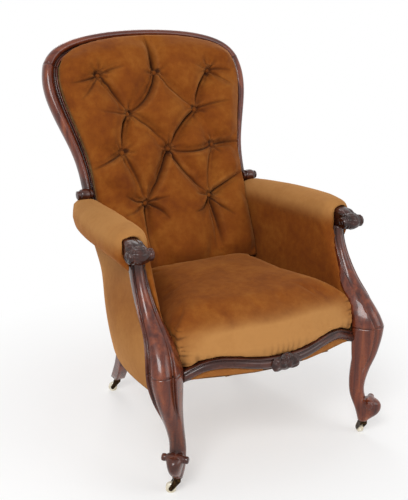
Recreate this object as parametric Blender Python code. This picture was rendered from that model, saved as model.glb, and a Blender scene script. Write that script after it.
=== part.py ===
"""Open armchair with a spoon-shaped buttoned back and carved show-wood, on four castors.

Lengths are in metres. +Z is up, -Y is the front, and left and right are as seen from the front.
"""
import math

import bmesh
import bpy
from mathutils import Vector

# Gaps that neighbouring pieces and turning shafts keep
GAP = 0.0003
RUNNING_GAP = 0.0003
SOFT_GAP = 0.0020
PADDING_GAP = 0.0040

# Castors
WHEEL_RADIUS = 0.0128
WHEEL_WIDTH = 0.0140
AXLE_RADIUS = 0.0020
AXLE_BOSS_RADIUS = 0.0055
CASTOR_TRAIL = 0.0155
TRAIL_ANGLE = math.radians(150.5)
OTHER_TRAIL_ANGLE = math.radians(75.0)
CHEEK_THICKNESS = 0.0020
CHEEK_CLEARANCE = 0.0006
HORN_TOP_THICKNESS = 0.0080
HORN_HALF_LENGTH = 0.0080
WHEEL_HEADROOM = 0.0064
PIVOT_RADIUS = 0.0030
PIVOT_HEAD_RADIUS = 0.0048
PIVOT_HEAD_THICKNESS = 0.0018
PLATE_RADIUS = 0.0128
PLATE_THICKNESS = 0.0024
STEM_RADIUS = 0.0040
STEM_LENGTH = 0.0140
WHEEL_SIDES = 20
PIN_SIDES = 12
AXLE_SIDES = 8

# Front legs and the arm posts above them
FRONT_SPREAD = 0.3000
FRONT_LINE = -0.2905
KNEE_HEIGHT = 0.3020
KNEE_HALF = 0.0340
LEG_SWEEP = 0.0310
TOE_ROLL_RADIUS = 0.0135
TOE_ROLL_LENGTH = 0.0660
TOE_ROLL_REACH = 0.0160
TOE_ROLL_HEIGHT = 0.0980
TOE_HALF_WIDTH = 0.0205
TOE_HALF_DEPTH = 0.0310
TOE_REACH = 0.0190
TOE_HEIGHT = 0.0635
POST_TOP = 0.5400
POST_SETBACK = 0.1445
POST_INSET = 0.0060

# Rear posts, each one piece from the foot to the shoulder of the back
REAR_FOOT_SPREAD = 0.1830
REAR_SPLAY = 0.0640
REAR_LINE = 0.1600
REAR_RAKE = 0.1000
REAR_FOOT_HALF = 0.0150
BACK_BASE_HEIGHT = 0.6000
BACK_BASE_LINE = 0.2620
RECLINE = math.radians(21.7)
BACK_HALF_WIDTH = 0.3190
BACK_HEIGHT = 0.4610
FRAME_HALF_WIDTH = 0.0220
FRAME_HALF_DEPTH = 0.0180
STILE_SCROLL_RADIUS = 0.0180
STILE_SCROLL_LENGTH = 0.0460
STILE_SCROLL_HEIGHT = 0.6050
STILE_SCROLL_OUT = 0.0210
STILE_SCROLL_FORWARD = 0.0220

# Seat frame
RAIL_OVER_KNEE = 0.0080
RAIL_HEIGHT = 0.0380
RAIL_HALF_THICKNESS = 0.0120
FRONT_RAIL_DROP = 0.0350
FRONT_RAIL_STRIP = 0.0020
FRONT_RAIL_BOW = 0.0560
FRONT_RAIL_RISE = 0.0300
FRONT_RAIL_HALF_HEIGHT = 0.0140
FRONT_RAIL_HALF_DEPTH = 0.0130
BLOCK_LEG = 0.0550
BLOCK_HEIGHT = 0.0280
CARVING_HALF_WIDTH = 0.0450
CARVING_HALF_HEIGHT = 0.0240
CARVING_HALF_DEPTH = 0.0100
BACK_RAIL_DROP = 0.1700
BACK_RAIL_HALF_HEIGHT = 0.0250
BACK_RAIL_HALF_DEPTH = 0.0120

# Arms
ARM_TOP = 0.6100
ARM_HALF_WIDTH = 0.0500
ARM_SPREAD = 0.3000
ARM_DEPTH = 0.0920
ARM_END_ROUND = 0.0080
ARM_RAIL_HALF = 0.0120
ARM_SCROLL_RADIUS = 0.0225
ARM_SCROLL_LENGTH = 0.0660
ARM_SCROLL_OUT = 0.0120
ARM_SCROLL_FORWARD = 0.0440
ARM_SCROLL_DROP = 0.0540
ARM_NECK_HALF_WIDTH = 0.0230
ARM_NECK_RISE = 0.0500
ARM_NECK_BACK = 0.0240
PANEL_THICKNESS = 0.0080
PANEL_BULGE = 0.0450
PANEL_DROP = 0.0630

# Seat upholstery
SEAT_HALF_WIDTH = 0.2720
SEAT_HALF_DEPTH = 0.2560
SEAT_MIDDLE = -0.0860
SEAT_CROWN_RISE = 0.1157
SPRING_RADIUS = 0.0330
SPRING_WAIST = 0.0220
SPRING_WIRE_RADIUS = 0.0018
SPRING_TURNS = 3
SPRING_SPACING = 0.1250
SPRING_SIDES = 3
COIL_POINTS = 6
TWINE_HALF = 0.0012
WEB_WIDTH = 0.0500
WEB_THICKNESS = 0.0018
CLOTH_THICKNESS = 0.0015
HESSIAN_THICKNESS = 0.0012

# Back upholstery
CUSHION_BASE = 0.0040
CUSHION_FILL = 0.0480
CUSHION_PUFF = 0.0270
CUSHION_BULGE = 0.0030
CUSHION_EDGE_ROUND = 0.0080
CUSHION_DROP = 0.2440
CUSHION_FOOT_HALF_WIDTH = 0.2360
FOLD_WIDTH = 0.0260
BUTTON_SINK = 0.0090
BUTTON_DIMPLE = 0.0160
BUTTON_RADIUS = 0.0080
BUTTON_HALF_THICKNESS = 0.0040
OUTSIDE_BACK_THICKNESS = 0.0060
OUTSIDE_BACK_PUFF = 0.0080

# Outlines, from the middle of the rear side round to the middle of the front, as
# (sideways, forward) shares of a section's half sizes
ROUND_HALF_SHARES = [(0, -1), (0.55, -0.9), (0.86, -0.62), (0.98, -0.28), (0.98, 0.14),
                     (0.86, 0.52), (0.64, 0.78), (0.33, 0.95), (0, 1)]
MOULDED_HALF_SHARES = [(0, -1), (0.8, -1), (1, -0.76), (1, 0.1), (0.9, 0.52),
                       (0.68, 0.36), (0.55, 0.72), (0.3, 0.94), (0, 1)]
# Whole outlines of the rear posts and the crest, (outward, forward)
SQUARE_SHARES = [(-0.85, -1), (0.85, -1), (1, -0.85), (1, -0.3), (1, 0.3), (1, 0.85),
                 (0.85, 1), (0.4, 1), (0, 1), (-0.3, 1), (-0.6, 1), (-0.85, 1),
                 (-1, 0.85), (-1, 0.3), (-1, -0.3), (-1, -0.85)]
FRAME_SHARES = [(-0.85, -1), (0.55, -1), (0.92, -0.75), (1, -0.2), (0.95, 0.35), (0.75, 0.78),
                (0.35, 1), (-0.05, 0.92), (-0.33, 0.62), (-0.45, 0.22), (-0.6, 0.26), (-0.72, 0.52),
                (-0.88, 0.54), (-1, 0.3), (-1, -0.4), (-1, -0.85)]
# Outline of the front rail, (forward, up)
RAIL_SHARES = [(0.2, -1), (0.5, -1), (0.85, -0.66), (1, -0.15), (0.85, 0.3), (0.55, 0.46),
               (0.72, 0.72), (0.45, 1)]
# Toe below the roll: height share, reach share, width share, depth share
TOE_ROW_SHARES = [(0.02, 0.02, 0.51, 0.42), (0.14, 0.30, 0.58, 0.56), (0.35, 0.74, 0.74, 0.84),
                  (0.62, 0.93, 0.90, 0.95), (0.83, 0.92, 1, 0.90), (0.96, 0.73, 0.88, 0.73),
                  (1, 0.47, 0.58, 0.55)]
# Face of the front rail's backing, as a share of the moulding's half depth
RAIL_BACKING_SHARE = 0.2
# Leaves of the carving: sideways share, height share, size share
CARVING_LOBE_SHARES = [(0, 0.1, 1), (-0.52, -0.1, 0.86), (0.52, -0.1, 0.86)]
# Outline of a box section
BOX_SHARES = [(-1, -1), (1, -1), (1, 1), (-1, 1)]
# Rounded roll of an arm: outward share of its half width, drop share of its depth
ARM_ROLL_SHARES = [(-1, 0.62), (-0.96, 0.30), (-0.76, 0.08), (-0.3, 0), (0.3, 0.01),
                   (0.76, 0.14), (1, 0.46), (0.94, 0.76), (0.5, 1)]
# Carved rolls with an ear at each end: half length share, radius share
SCROLL_PROFILE_SHARES = [(-1, 0.42), (-0.94, 0.68), (-0.78, 0.74), (-0.64, 0.66), (-0.5, 0.92),
                         (0, 1), (0.5, 0.92), (0.64, 0.66), (0.78, 0.74), (0.94, 0.68), (1, 0.42)]
# Neck of an arm scroll from its roll to the rear: length share, half width and rise shares
ARM_NECK_SHARES = [(0, 0.85, 0.70), (0.4, 1, 0.92), (1, 0.9, 1)]
# Its section, as half width and half height shares
ARM_NECK_OUTLINE_SHARES = [
    (-1, -1), (1, -1), (1, 0.6), (0.75, 0.9), (0.3, 1), (-0.3, 1), (-0.75, 0.9), (-1, 0.6),
]
# Wheel rim from face to face: half width share, radius share
WHEEL_PROFILE_SHARES = [(-1, 0.80), (-0.72, 1), (0.72, 1), (1, 0.80)]
# Covered button: thickness share, radius share
BUTTON_PROFILE_SHARES = [(-1, 0.9), (0.2, 1), (1, 0.45)]

# Rows of a leg: height share from foot to knee, inward and forward shares of the sweep,
# size share of the knee, moulding share
LEG_ROW_SHARES = [
    (0.000, 0.68, 0.73, 0.40, 0),
    (0.064, 0.66, 0.74, 0.53, 0),
    (0.133, 0.68, 0.68, 0.64, 0),
    (0.199, 0.83, 0.48, 0.62, 0),
    (0.265, 1.02, 0.20, 0.58, 0),
    (0.335, 1.02, 0.05, 0.58, 0.1),
    (0.451, 0.85, -0.05, 0.67, 0.3),
    (0.567, 0.61, -0.05, 0.78, 0.6),
    (0.683, 0.32, 0.03, 0.92, 0.9),
    (0.799, 0.16, 0.00, 1.06, 1),
    (0.915, 0.03, 0.00, 1.16, 1),
    (1.000, 0.00, 0.00, 1.18, 1),
]
# Rows of an arm post: height share of its length, setback share, inset share, half width
# and half depth shares of the knee, share of the quarter turn that it faces outward
POST_ROW_SHARES = [
    (0.000, 0.000, 0.0, 1.18, 1.18, 0.50),
    (0.118, 0.073, 0.2, 1.13, 1.06, 0.44),
    (0.210, 0.176, 0.5, 1.03, 0.90, 0.38),
    (0.319, 0.318, 0.8, 0.90, 0.74, 0.29),
    (0.412, 0.505, 1.0, 0.80, 0.68, 0.22),
    (0.496, 0.632, 1.0, 0.73, 0.66, 0.17),
    (0.622, 0.780, 1.0, 0.63, 0.62, 0.11),
    (0.748, 0.893, 1.0, 0.56, 0.57, 0.07),
    (0.866, 0.975, 1.0, 0.54, 0.56, 0.05),
    (1.000, 1.000, 1.0, 0.54, 0.56, 0.04),
]
# Rows of a rear post below the arms: height share from foot to the back's base, splay
# share, rake share, half size share of the foot, moulding share
REAR_ROW_SHARES = [
    (0.000, 0.00, 0.860, 1.00, 0),
    (0.034, 0.03, 0.730, 1.03, 0),
    (0.075, 0.06, 0.535, 1.07, 0),
    (0.110, 0.08, 0.390, 1.10, 0),
    (0.173, 0.11, 0.200, 1.15, 0),
    (0.281, 0.17, 0.030, 1.20, 0),
    (0.371, 0.22, 0.000, 1.25, 0),
    (0.461, 0.28, 0.036, 1.25, 0),
    (0.641, 0.48, 0.230, 1.20, 0),
    (0.820, 0.76, 0.590, 1.05, 0.4),
    (0.925, 0.93, 0.880, 1.00, 0.9),
]
# Outer edge of the back, from the waist to the middle of the crest: half width share,
# height share, moulding width share, moulding depth share
BACK_OUTLINE_SHARES = [
    (0.808, 0.060, 0.66, 0.98),
    (0.814, 0.170, 0.68, 0.98),
    (0.848, 0.265, 0.74, 1.00),
    (0.896, 0.375, 0.84, 1.00),
    (0.948, 0.480, 0.93, 1.00),
    (0.986, 0.575, 1.00, 1.00),
    (1.000, 0.665, 1.00, 1.00),
    (0.985, 0.760, 0.98, 1.00),
    (0.930, 0.845, 0.92, 0.98),
    (0.815, 0.910, 0.84, 0.96),
    (0.640, 0.955, 0.78, 0.94),
    (0.340, 0.990, 0.74, 0.92),
    (0.000, 1.000, 0.72, 0.92),
]
# Where along those rows the posts meet the crest, and where a cushion's corner lies
SHOULDER_ROW_SHARE = 7.5
CORNER_ROW_SHARE = 8.4
CREST_PANEL_ROW_SHARE = 9.4
# Where strips of webbing cross the back
BACK_WEB_ROW_SHARES = [1, 3.5, 6]
# Rows of the front rail: half span share, bow share, rise share
RAIL_ROW_SHARES = [
    (0.00, 1.00, 0.38),
    (0.20, 0.93, 0.48),
    (0.42, 0.70, 0.90),
    (0.54, 0.51, 1.00),
    (0.66, 0.32, 0.88),
    (0.78, 0.14, 0.32),
    (0.90, 0.00, -0.20),
    (1.00, -0.06, -0.45),
]
# Rows of an arm from front to rear: length share, spread share, half width share, drop share
ARM_ROW_SHARES = [
    (0.00, 1.000, 0.86, 0.07),
    (0.12, 1.005, 0.95, 0.00),
    (0.35, 0.985, 1.00, 0.00),
    (0.60, 0.955, 1.00, 0.04),
    (0.85, 0.910, 0.90, 0.11),
    (1.00, 0.880, 0.77, 0.16),
]
# Bulge of an outside arm from its foot to the top of the arm: height share, bulge share
PANEL_ROW_SHARES = [(0, 0.88), (0.12, 0.98), (0.25, 1), (0.41, 0.80), (0.52, 0.25), (0.62, -0.02),
                    (0.74, -0.06), (1, 0)]
# How far out on an arm post an outside arm ends, and where in an arm's roll its rail lies
PANEL_LAP_SHARE = 0.62
ARM_RAIL_SHARE = 0.46
# Sections of an arm's stuffing along it, as length shares
ARM_STATION_SHARES = [0.04, 0.16, 0.30, 0.45, 0.60, 0.75, 0.88, 1]
# Edge of the seat from the front middle to the rear middle, (sideways, forward) shares
SEAT_OUTLINE_SHARES = [
    (0, 1), (0.34, 0.97), (0.63, 0.89), (0.84, 0.81), (0.975, 0.77), (1.01, 0.62), (0.96, 0.40),
    (0.90, 0.12), (0.87, -0.15), (0.845, -0.45), (0.825, -0.72), (0.795, -0.92), (0.66, -0.99),
    (0.36, -1), (0, -1),
]
# Loops of the seat from the middle of its hollow underside over its edge to the crown:
# spread share, height share from the edge to the crown
SEAT_LOOP_SHARES = [
    (0.30, 0.447), (0.70, 0.447), (0.88, 0.00), (0.985, 0.00), (1.00, 0.15), (0.985, 0.43),
    (0.93, 0.66), (0.82, 0.82), (0.60, 0.94), (0.30, 0.99),
]
HESSIAN_SPREAD_SHARE = 0.67
# Buttons of the back: sideways share of the back's half width, height share of the back
BUTTON_SHARES = [
    (0, 0.690), (0.54, 0.690), (0.335, 0.444), (0, 0.211), (0.445, 0.211), (0.320, -0.105),
]
# Folds between the buttons and out to the edge, as pairs of places in the same shares
FOLD_SHARES = [
    ((0, 0.690), (0, 1.0)),
    ((0, 0.690), (0.335, 0.444)),
    ((0.54, 0.690), (0.335, 0.444)),
    ((0.54, 0.690), (0.95, 0.62)),
    ((0.335, 0.444), (0, 0.211)),
    ((0.335, 0.444), (0.445, 0.211)),
    ((0.445, 0.211), (0.85, 0.20)),
    ((0, 0.211), (0.320, -0.105)),
    ((0.445, 0.211), (0.320, -0.105)),
    ((0.320, -0.105), (0.26, -0.50)),
    ((0.320, -0.105), (0.78, -0.02)),
]
# Columns and rows of the cushion's face, closer where the buttons are
CUSHION_COLUMN_SHARES = [0, 0.11, 0.22, 0.33, 0.43, 0.52, 0.62, 0.73, 0.86, 1]
CUSHION_ROW_SHARES = [0, 0.07, 0.14, 0.20, 0.26, 0.32, 0.38, 0.44, 0.50, 0.55, 0.60, 0.65, 0.70,
                      0.75, 0.80, 0.85, 0.90, 0.95, 1]

# Colours as (red, green, blue), roughness, metallic
MAHOGANY = ((0.115, 0.033, 0.017), 0.28, 0)
DARK_MAHOGANY = ((0.050, 0.018, 0.012), 0.34, 0)
BEECH = ((0.48, 0.30, 0.15), 0.60, 0)
VELVET = ((0.33, 0.125, 0.026), 0.85, 0)
HESSIAN = ((0.42, 0.30, 0.16), 0.90, 0)
TAN_CLOTH = ((0.46, 0.26, 0.10), 0.90, 0)
SPRING_STEEL = ((0.20, 0.16, 0.12), 0.45, 1)
DARK_BRASS = ((0.10, 0.065, 0.03), 0.45, 1)
CERAMIC = ((0.80, 0.76, 0.66), 0.25, 0)
SHARP_ANGLE = math.radians(38)
OFFCUT_SHARE = 0.05
# How far round a leaf of the carving its skin reaches, and a castor's cheek round its axle
LEAF_ANGLE = math.radians(80)
BOSS_ANGLES = (math.radians(60), -math.radians(160))

SIDES = {"left": -1, "right": 1}
BACK_NORMAL = Vector((0, -math.cos(RECLINE), math.sin(RECLINE)))
UP = Vector((0, 0, 1))
ACROSS = Vector((1, 0, 0))
REARWARD = Vector((0, 1, 0))

# Heights of the seat frame, and of the upholstery and the rails that follow it
RAIL_TOP = KNEE_HEIGHT + RAIL_OVER_KNEE
RAIL_BOTTOM = RAIL_TOP - RAIL_HEIGHT
FRONT_RAIL_BASE = RAIL_TOP - FRONT_RAIL_DROP
PANEL_BOTTOM = RAIL_TOP - PANEL_DROP
SEAT_EDGE_HEIGHT = RAIL_TOP + GAP
SEAT_CROWN_HEIGHT = SEAT_EDGE_HEIGHT + SEAT_CROWN_RISE
ARM_RAIL_HEIGHT = ARM_TOP - ARM_RAIL_SHARE * ARM_DEPTH
BACK_RAIL_HEIGHT = BACK_BASE_HEIGHT - BACK_RAIL_DROP

# Heights of a castor's pieces, from the floor up
AXLE_HEIGHT = WHEEL_RADIUS * math.cos(math.pi / WHEEL_SIDES)
HORN_UNDERSIDE = AXLE_HEIGHT + WHEEL_RADIUS + WHEEL_HEADROOM
HORN_TOP = HORN_UNDERSIDE + HORN_TOP_THICKNESS
PLATE_TOP = HORN_TOP + GAP + PLATE_THICKNESS
FOOT_HEIGHT = PLATE_TOP + GAP

# Stations along the frame of the back, and the one where the posts meet the crest
LOWER_POST_STATIONS = 9
UPPER_STATION_SHARES = [0, 1.3, 2.6, 3.9, 5, 6, 6.8, SHOULDER_ROW_SHARE, 8.1, 8.7, 9.4, 10.2, 11, 12]
SHOULDER_STATION = LOWER_POST_STATIONS + 1 + UPPER_STATION_SHARES.index(SHOULDER_ROW_SHARE)
SCROLL_SIDES = 10
BUTTON_SIDES = 8
CARVING_SIDES = 8
LEAF_ROWS = 4
BOSS_POINTS = 5
LEG_STATIONS = 12
POST_STATIONS = 10
RAIL_STATIONS = 18
PANEL_STATIONS = 10
PANEL_ROWS = 6
SIDE_RAIL_STATIONS = 10
SEAT_POINTS = 13
HESSIAN_POINTS = 12

solids = {}


def clear_scene():
    """Start from an empty scene."""
    for item in list(bpy.data.objects):
        bpy.data.objects.remove(item, do_unlink=True)


def surface(name, finish):
    """Material of one piece."""
    colour, roughness, metallic = finish
    material = bpy.data.materials.new(name)
    material.use_nodes = True
    shader = material.node_tree.nodes["Principled BSDF"]
    shader.inputs["Base Color"].default_value = (*colour, 1)
    shader.inputs["Roughness"].default_value = roughness
    shader.inputs["Metallic"].default_value = metallic
    return material


def slope(rows, index, column):
    """Steepness of a table's column at one of its rows."""
    low = rows[max(index - 1, 0)]
    high = rows[min(index + 1, len(rows) - 1)]
    return (high[column] - low[column]) / (high[0] - low[0])


def row_at(rows, key):
    """Smooth values of a table between its rows, whose first column rises."""
    index = 0
    while index < len(rows) - 2 and rows[index + 1][0] < key:
        index += 1
    low, high = rows[index], rows[index + 1]
    span = high[0] - low[0]
    t = (key - low[0]) / span
    values = []
    for column in range(1, len(low)):
        start_pull = slope(rows, index, column) * span
        end_pull = slope(rows, index + 1, column) * span
        values.append(low[column] * (2 * t**3 - 3 * t**2 + 1) + high[column] * (3 * t**2 - 2 * t**3)
                      + start_pull * (t**3 - 2 * t**2 + t) + end_pull * (t**3 - t**2))
    return values


def point_at(points, t):
    """Smooth curve through points that are one step of t apart."""
    return row_at([(i, *point) for i, point in enumerate(points)], t)


def steps(low, high, count):
    """Evenly spread values from low to high."""
    return [low + (high - low) * i / count for i in range(count + 1)]


def mix(low, high, share):
    """Value part of the way from low to high."""
    return low + (high - low) * share


def whole_outline(half):
    """Mirror a half outline to its other side."""
    return half + [(-u, v) for u, v in reversed(half[1:-1])]


def blend(first, second, share):
    """Outline between two outlines of as many points."""
    return [(mix(a[0], b[0], share), mix(a[1], b[1], share)) for a, b in zip(first, second)]


def ring(centre, side_way, front_way, half_width, half_depth, outline):
    """Place an outline of shares across a path."""
    return [centre + side_way * (u * half_width) + front_way * (v * half_depth) for u, v in outline]


def closed(mesh):
    """Triangles whose faces all point outward."""
    bmesh.ops.triangulate(mesh, faces=mesh.faces)
    bmesh.ops.recalc_face_normals(mesh, faces=mesh.faces)
    return mesh


def loft(rings):
    """Closed skin through rings of as many points, with flat ends."""
    mesh = bmesh.new()
    loops = [[mesh.verts.new(point) for point in points] for points in rings]
    for low, high in zip(loops, loops[1:]):
        for i in range(len(low)):
            j = (i + 1) % len(low)
            mesh.faces.new((low[i], low[j], high[j], high[i]))
    mesh.faces.new(loops[0])
    mesh.faces.new(loops[-1])
    return closed(mesh)


def slab(top, bottom):
    """Closed sheet between two grids of as many rows and columns."""
    mesh = bmesh.new()
    layers = [[[mesh.verts.new(point) for point in row] for row in grid] for grid in (top, bottom)]
    for layer in layers:
        for low, high in zip(layer, layer[1:]):
            for i in range(len(low) - 1):
                mesh.faces.new((low[i], low[i + 1], high[i + 1], high[i]))
    rims = [rim(layer) for layer in layers]
    for i in range(len(rims[0])):
        j = (i + 1) % len(rims[0])
        mesh.faces.new((rims[0][i], rims[0][j], rims[1][j], rims[1][i]))
    return closed(mesh)


def rim(grid):
    """Items round the edge of a grid, in order."""
    right = [row[-1] for row in grid[1:-1]]
    left = [row[0] for row in reversed(grid[1:-1])]
    return grid[0] + right + list(reversed(grid[-1])) + left


def turned(profile, centre, axis, first_way, sides):
    """Revolve (along, radius) pairs round an axis."""
    axis = axis.normalized()
    first_way = (first_way - axis * first_way.dot(axis)).normalized()
    second_way = axis.cross(first_way)
    rings = []
    for along, radius in profile:
        points = []
        for i in range(sides):
            angle = math.tau * (i + 1 / 2) / sides
            way = first_way * math.cos(angle) + second_way * math.sin(angle)
            points.append(centre + axis * along + way * radius)
        rings.append(points)
    return loft(rings)


def scaled(profile, half_length, radius):
    """Real sizes of a turned profile in shares."""
    return [(along * half_length, out * radius) for along, out in profile]


def box(low, high):
    """Plain box between two corners."""
    floor = [Vector((x, y, low.z)) for x, y in
             ((low.x, low.y), (high.x, low.y), (high.x, high.y), (low.x, high.y))]
    return loft([floor, [Vector((point.x, point.y, high.z)) for point in floor]])


def grown(mesh, clearance):
    """Copy of a mesh, fuller by a clearance all round."""
    copy = mesh.copy()
    copy.normal_update()
    shifts = [vert.normal * (vert.calc_shell_factor() * clearance) for vert in copy.verts]
    for vert, shift in zip(copy.verts, shifts):
        vert.co += shift
    return copy


def add_object(name, mesh):
    """Put a mesh into the scene."""
    data = bpy.data.meshes.new(name)
    mesh.to_mesh(data)
    item = bpy.data.objects.new(name, data)
    bpy.context.collection.objects.link(item)
    return item


def shaped(mesh, adds=(), cuts=()):
    """Join solids to a mesh and cut others from it."""
    base = add_object("base", mesh)
    tools = []
    for operation, shapes in (("UNION", adds), ("DIFFERENCE", cuts)):
        for shape in shapes:
            tool = add_object("tool", shape)
            tool.hide_render = True
            tool.display_type = "WIRE"
            change = base.modifiers.new("shape", "BOOLEAN")
            change.operation = operation
            change.solver = "EXACT"
            change.object = tool
            tools.append(tool)
    graph = bpy.context.evaluated_depsgraph_get()
    result = bmesh.new()
    result.from_mesh(base.evaluated_get(graph).to_mesh())
    for item in [base, *tools]:
        data = item.data
        bpy.data.objects.remove(item, do_unlink=True)
        bpy.data.meshes.remove(data)
    bmesh.ops.triangulate(result, faces=result.faces)
    return result


def bodies(mesh):
    """Groups of faces that hang together."""
    left = set(mesh.faces)
    groups = []
    while left:
        start = left.pop()
        group, front = [start], [start]
        while front:
            face = front.pop()
            for edge in face.edges:
                for other in edge.link_faces:
                    if other in left:
                        left.discard(other)
                        group.append(other)
                        front.append(other)
        groups.append(group)
    return groups


def without_offcuts(mesh):
    """Drop what a cut leaves on the far side of a neighbour."""
    groups = bodies(mesh)
    areas = [sum(face.calc_area() for face in group) for group in groups]
    least = max(areas) * OFFCUT_SHARE
    waste = [face for group, area in zip(groups, areas) if area < least for face in group]
    bmesh.ops.delete(mesh, geom=waste, context="FACES")
    return mesh


def dress(name, mesh, finish):
    """Give a finished mesh its object, material and smooth shading."""
    item = add_object(name, mesh)
    item.data.materials.append(surface(name, finish))
    item.data.shade_smooth()
    item.data.set_sharp_from_angle(angle=SHARP_ANGLE)
    return item


def add_piece(name, parts, finish, beside=(), bores=()):
    """Add a piece made of overlapping solids, cut clear of the neighbours named and bored."""
    solids[name] = [part.copy() for part in parts]
    cuts = [grown(shape, GAP) for other in beside for shape in solids[other]]
    cuts += bores
    mesh = parts[0]
    if cuts or parts[1:]:
        mesh = shaped(mesh, adds=parts[1:], cuts=cuts)
    if beside:
        mesh = without_offcuts(mesh)
    return dress(name, mesh, finish)


def front_post_centre(height):
    """Middle of a front leg or arm post at a height: sideways and rearward places."""
    if height <= KNEE_HEIGHT:
        share = (height - FOOT_HEIGHT) / (KNEE_HEIGHT - FOOT_HEIGHT)
        inward, forward = row_at(LEG_ROW_SHARES, share)[:2]
        return FRONT_SPREAD - inward * LEG_SWEEP, FRONT_LINE - forward * LEG_SWEEP
    share = min((height - KNEE_HEIGHT) / (POST_TOP - KNEE_HEIGHT), 1)
    setback, inset = row_at(POST_ROW_SHARES, share)[:2]
    return FRONT_SPREAD - inset * POST_INSET, FRONT_LINE + setback * POST_SETBACK


def front_post_half(height):
    """Half width of a front leg or arm post at a height."""
    if height <= KNEE_HEIGHT:
        share = (height - FOOT_HEIGHT) / (KNEE_HEIGHT - FOOT_HEIGHT)
        return row_at(LEG_ROW_SHARES, share)[2] * KNEE_HALF
    share = min((height - KNEE_HEIGHT) / (POST_TOP - KNEE_HEIGHT), 1)
    return row_at(POST_ROW_SHARES, share)[2] * KNEE_HALF


def rear_post_row(share):
    """Middle, half size and moulding of a rear post below the waist of the back."""
    splay, rake, size, moulding = row_at(REAR_ROW_SHARES, share)
    height = mix(FOOT_HEIGHT, BACK_BASE_HEIGHT, share)
    centre = Vector((REAR_FOOT_SPREAD + splay * REAR_SPLAY, REAR_LINE + rake * REAR_RAKE, height))
    return centre, size * REAR_FOOT_HALF, moulding


def rear_post_at(height):
    """Middle and half size of a rear post at a height, carried on at the back's slope."""
    share = (height - FOOT_HEIGHT) / (BACK_BASE_HEIGHT - FOOT_HEIGHT)
    held = min(share, REAR_ROW_SHARES[-1][0])
    centre, half, moulding = rear_post_row(held)
    centre.y += (height - centre.z) * math.tan(RECLINE)
    return centre, half


def on_back(x, height, forward):
    """Place on the reclined back: across, up its slope, and out from its middle plane."""
    base = Vector((x, BACK_BASE_LINE, BACK_BASE_HEIGHT))
    slope_way = Vector((0, math.sin(RECLINE), math.cos(RECLINE)))
    return base + slope_way * height + BACK_NORMAL * forward


def outline_at(t):
    """Outer edge of the back at a row: across, up, half width and half depth of moulding."""
    width, height, moulding_width, moulding_depth = point_at(BACK_OUTLINE_SHARES, t)
    return (width * BACK_HALF_WIDTH, height * BACK_HEIGHT,
            moulding_width * FRAME_HALF_WIDTH, moulding_depth * FRAME_HALF_DEPTH)


def inside_outline(t, frame_share, inset=0):
    """Place inside the outer edge of the back by a share of the moulding and an inset."""
    nudge = 1 / 50
    before = outline_at(max(t - nudge, 0))
    after = outline_at(t + nudge) if t + nudge < len(BACK_OUTLINE_SHARES) - 1 else None
    if after is None:
        along = (-1, 0)
    else:
        along = (after[0] - before[0], after[1] - before[1])
    length = math.hypot(*along)
    x, height, half_width, half_depth = outline_at(t)
    inward = (-along[1] / length, along[0] / length)
    depth = 2 * half_width * frame_share + inset
    return x + inward[0] * depth, height + inward[1] * depth


def frame_stations():
    """Right half of the back's frame: middle, half sizes and moulding at each station."""
    stations = []
    for share in steps(0, REAR_ROW_SHARES[-1][0], LOWER_POST_STATIONS):
        centre, half, moulding = rear_post_row(share)
        stations.append((centre, half, mix(half, FRAME_HALF_DEPTH, moulding), moulding))
    for t in UPPER_STATION_SHARES:
        x, height = inside_outline(t, 1 / 2)
        half_width, half_depth = outline_at(t)[2:]
        stations.append((on_back(x, height, 0), half_width, half_depth, 1))
    return stations


def frame_rings():
    """Sections of the right half of the back's frame, each with the direction of its path."""
    stations = frame_stations()
    last = len(stations) - 1
    rings = []
    for i, (centre, half_width, half_depth, moulding) in enumerate(stations):
        if i == last:
            tangent = -ACROSS
        else:
            tangent = (stations[i + 1][0] - stations[max(i - 1, 0)][0]).normalized()
        front_way = (BACK_NORMAL - tangent * BACK_NORMAL.dot(tangent)).normalized()
        outline = blend(SQUARE_SHARES, FRAME_SHARES, moulding)
        points = ring(centre, tangent.cross(front_way), front_way, half_width, half_depth, outline)
        rings.append((points, tangent))
    return rings


def moved(points, shift):
    """Points moved together."""
    return [point + shift for point in points]


def mirrored(points, side):
    """Points on the right side, or their mirror images on the left."""
    return [Vector((point.x * side, point.y, point.z)) for point in points]


def castor_places():
    """Swivel axes of the four castors."""
    front_x, front_y = front_post_centre(FOOT_HEIGHT)
    rear = rear_post_at(FOOT_HEIGHT)[0]
    places = {}
    for name, side in SIDES.items():
        places[f"front_{name}"] = Vector((side * front_x, front_y, 0))
        places[f"rear_{name}"] = Vector((side * rear.x, rear.y, 0))
    return places


def stem_bore(place):
    """Hole in a foot for a castor's stem."""
    top = FOOT_HEIGHT + STEM_LENGTH + GAP
    profile = [(0, STEM_RADIUS + GAP), (top, STEM_RADIUS + GAP)]
    return turned(profile, Vector((place.x, place.y, 0)), UP, ACROSS, PIN_SIDES)


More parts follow.
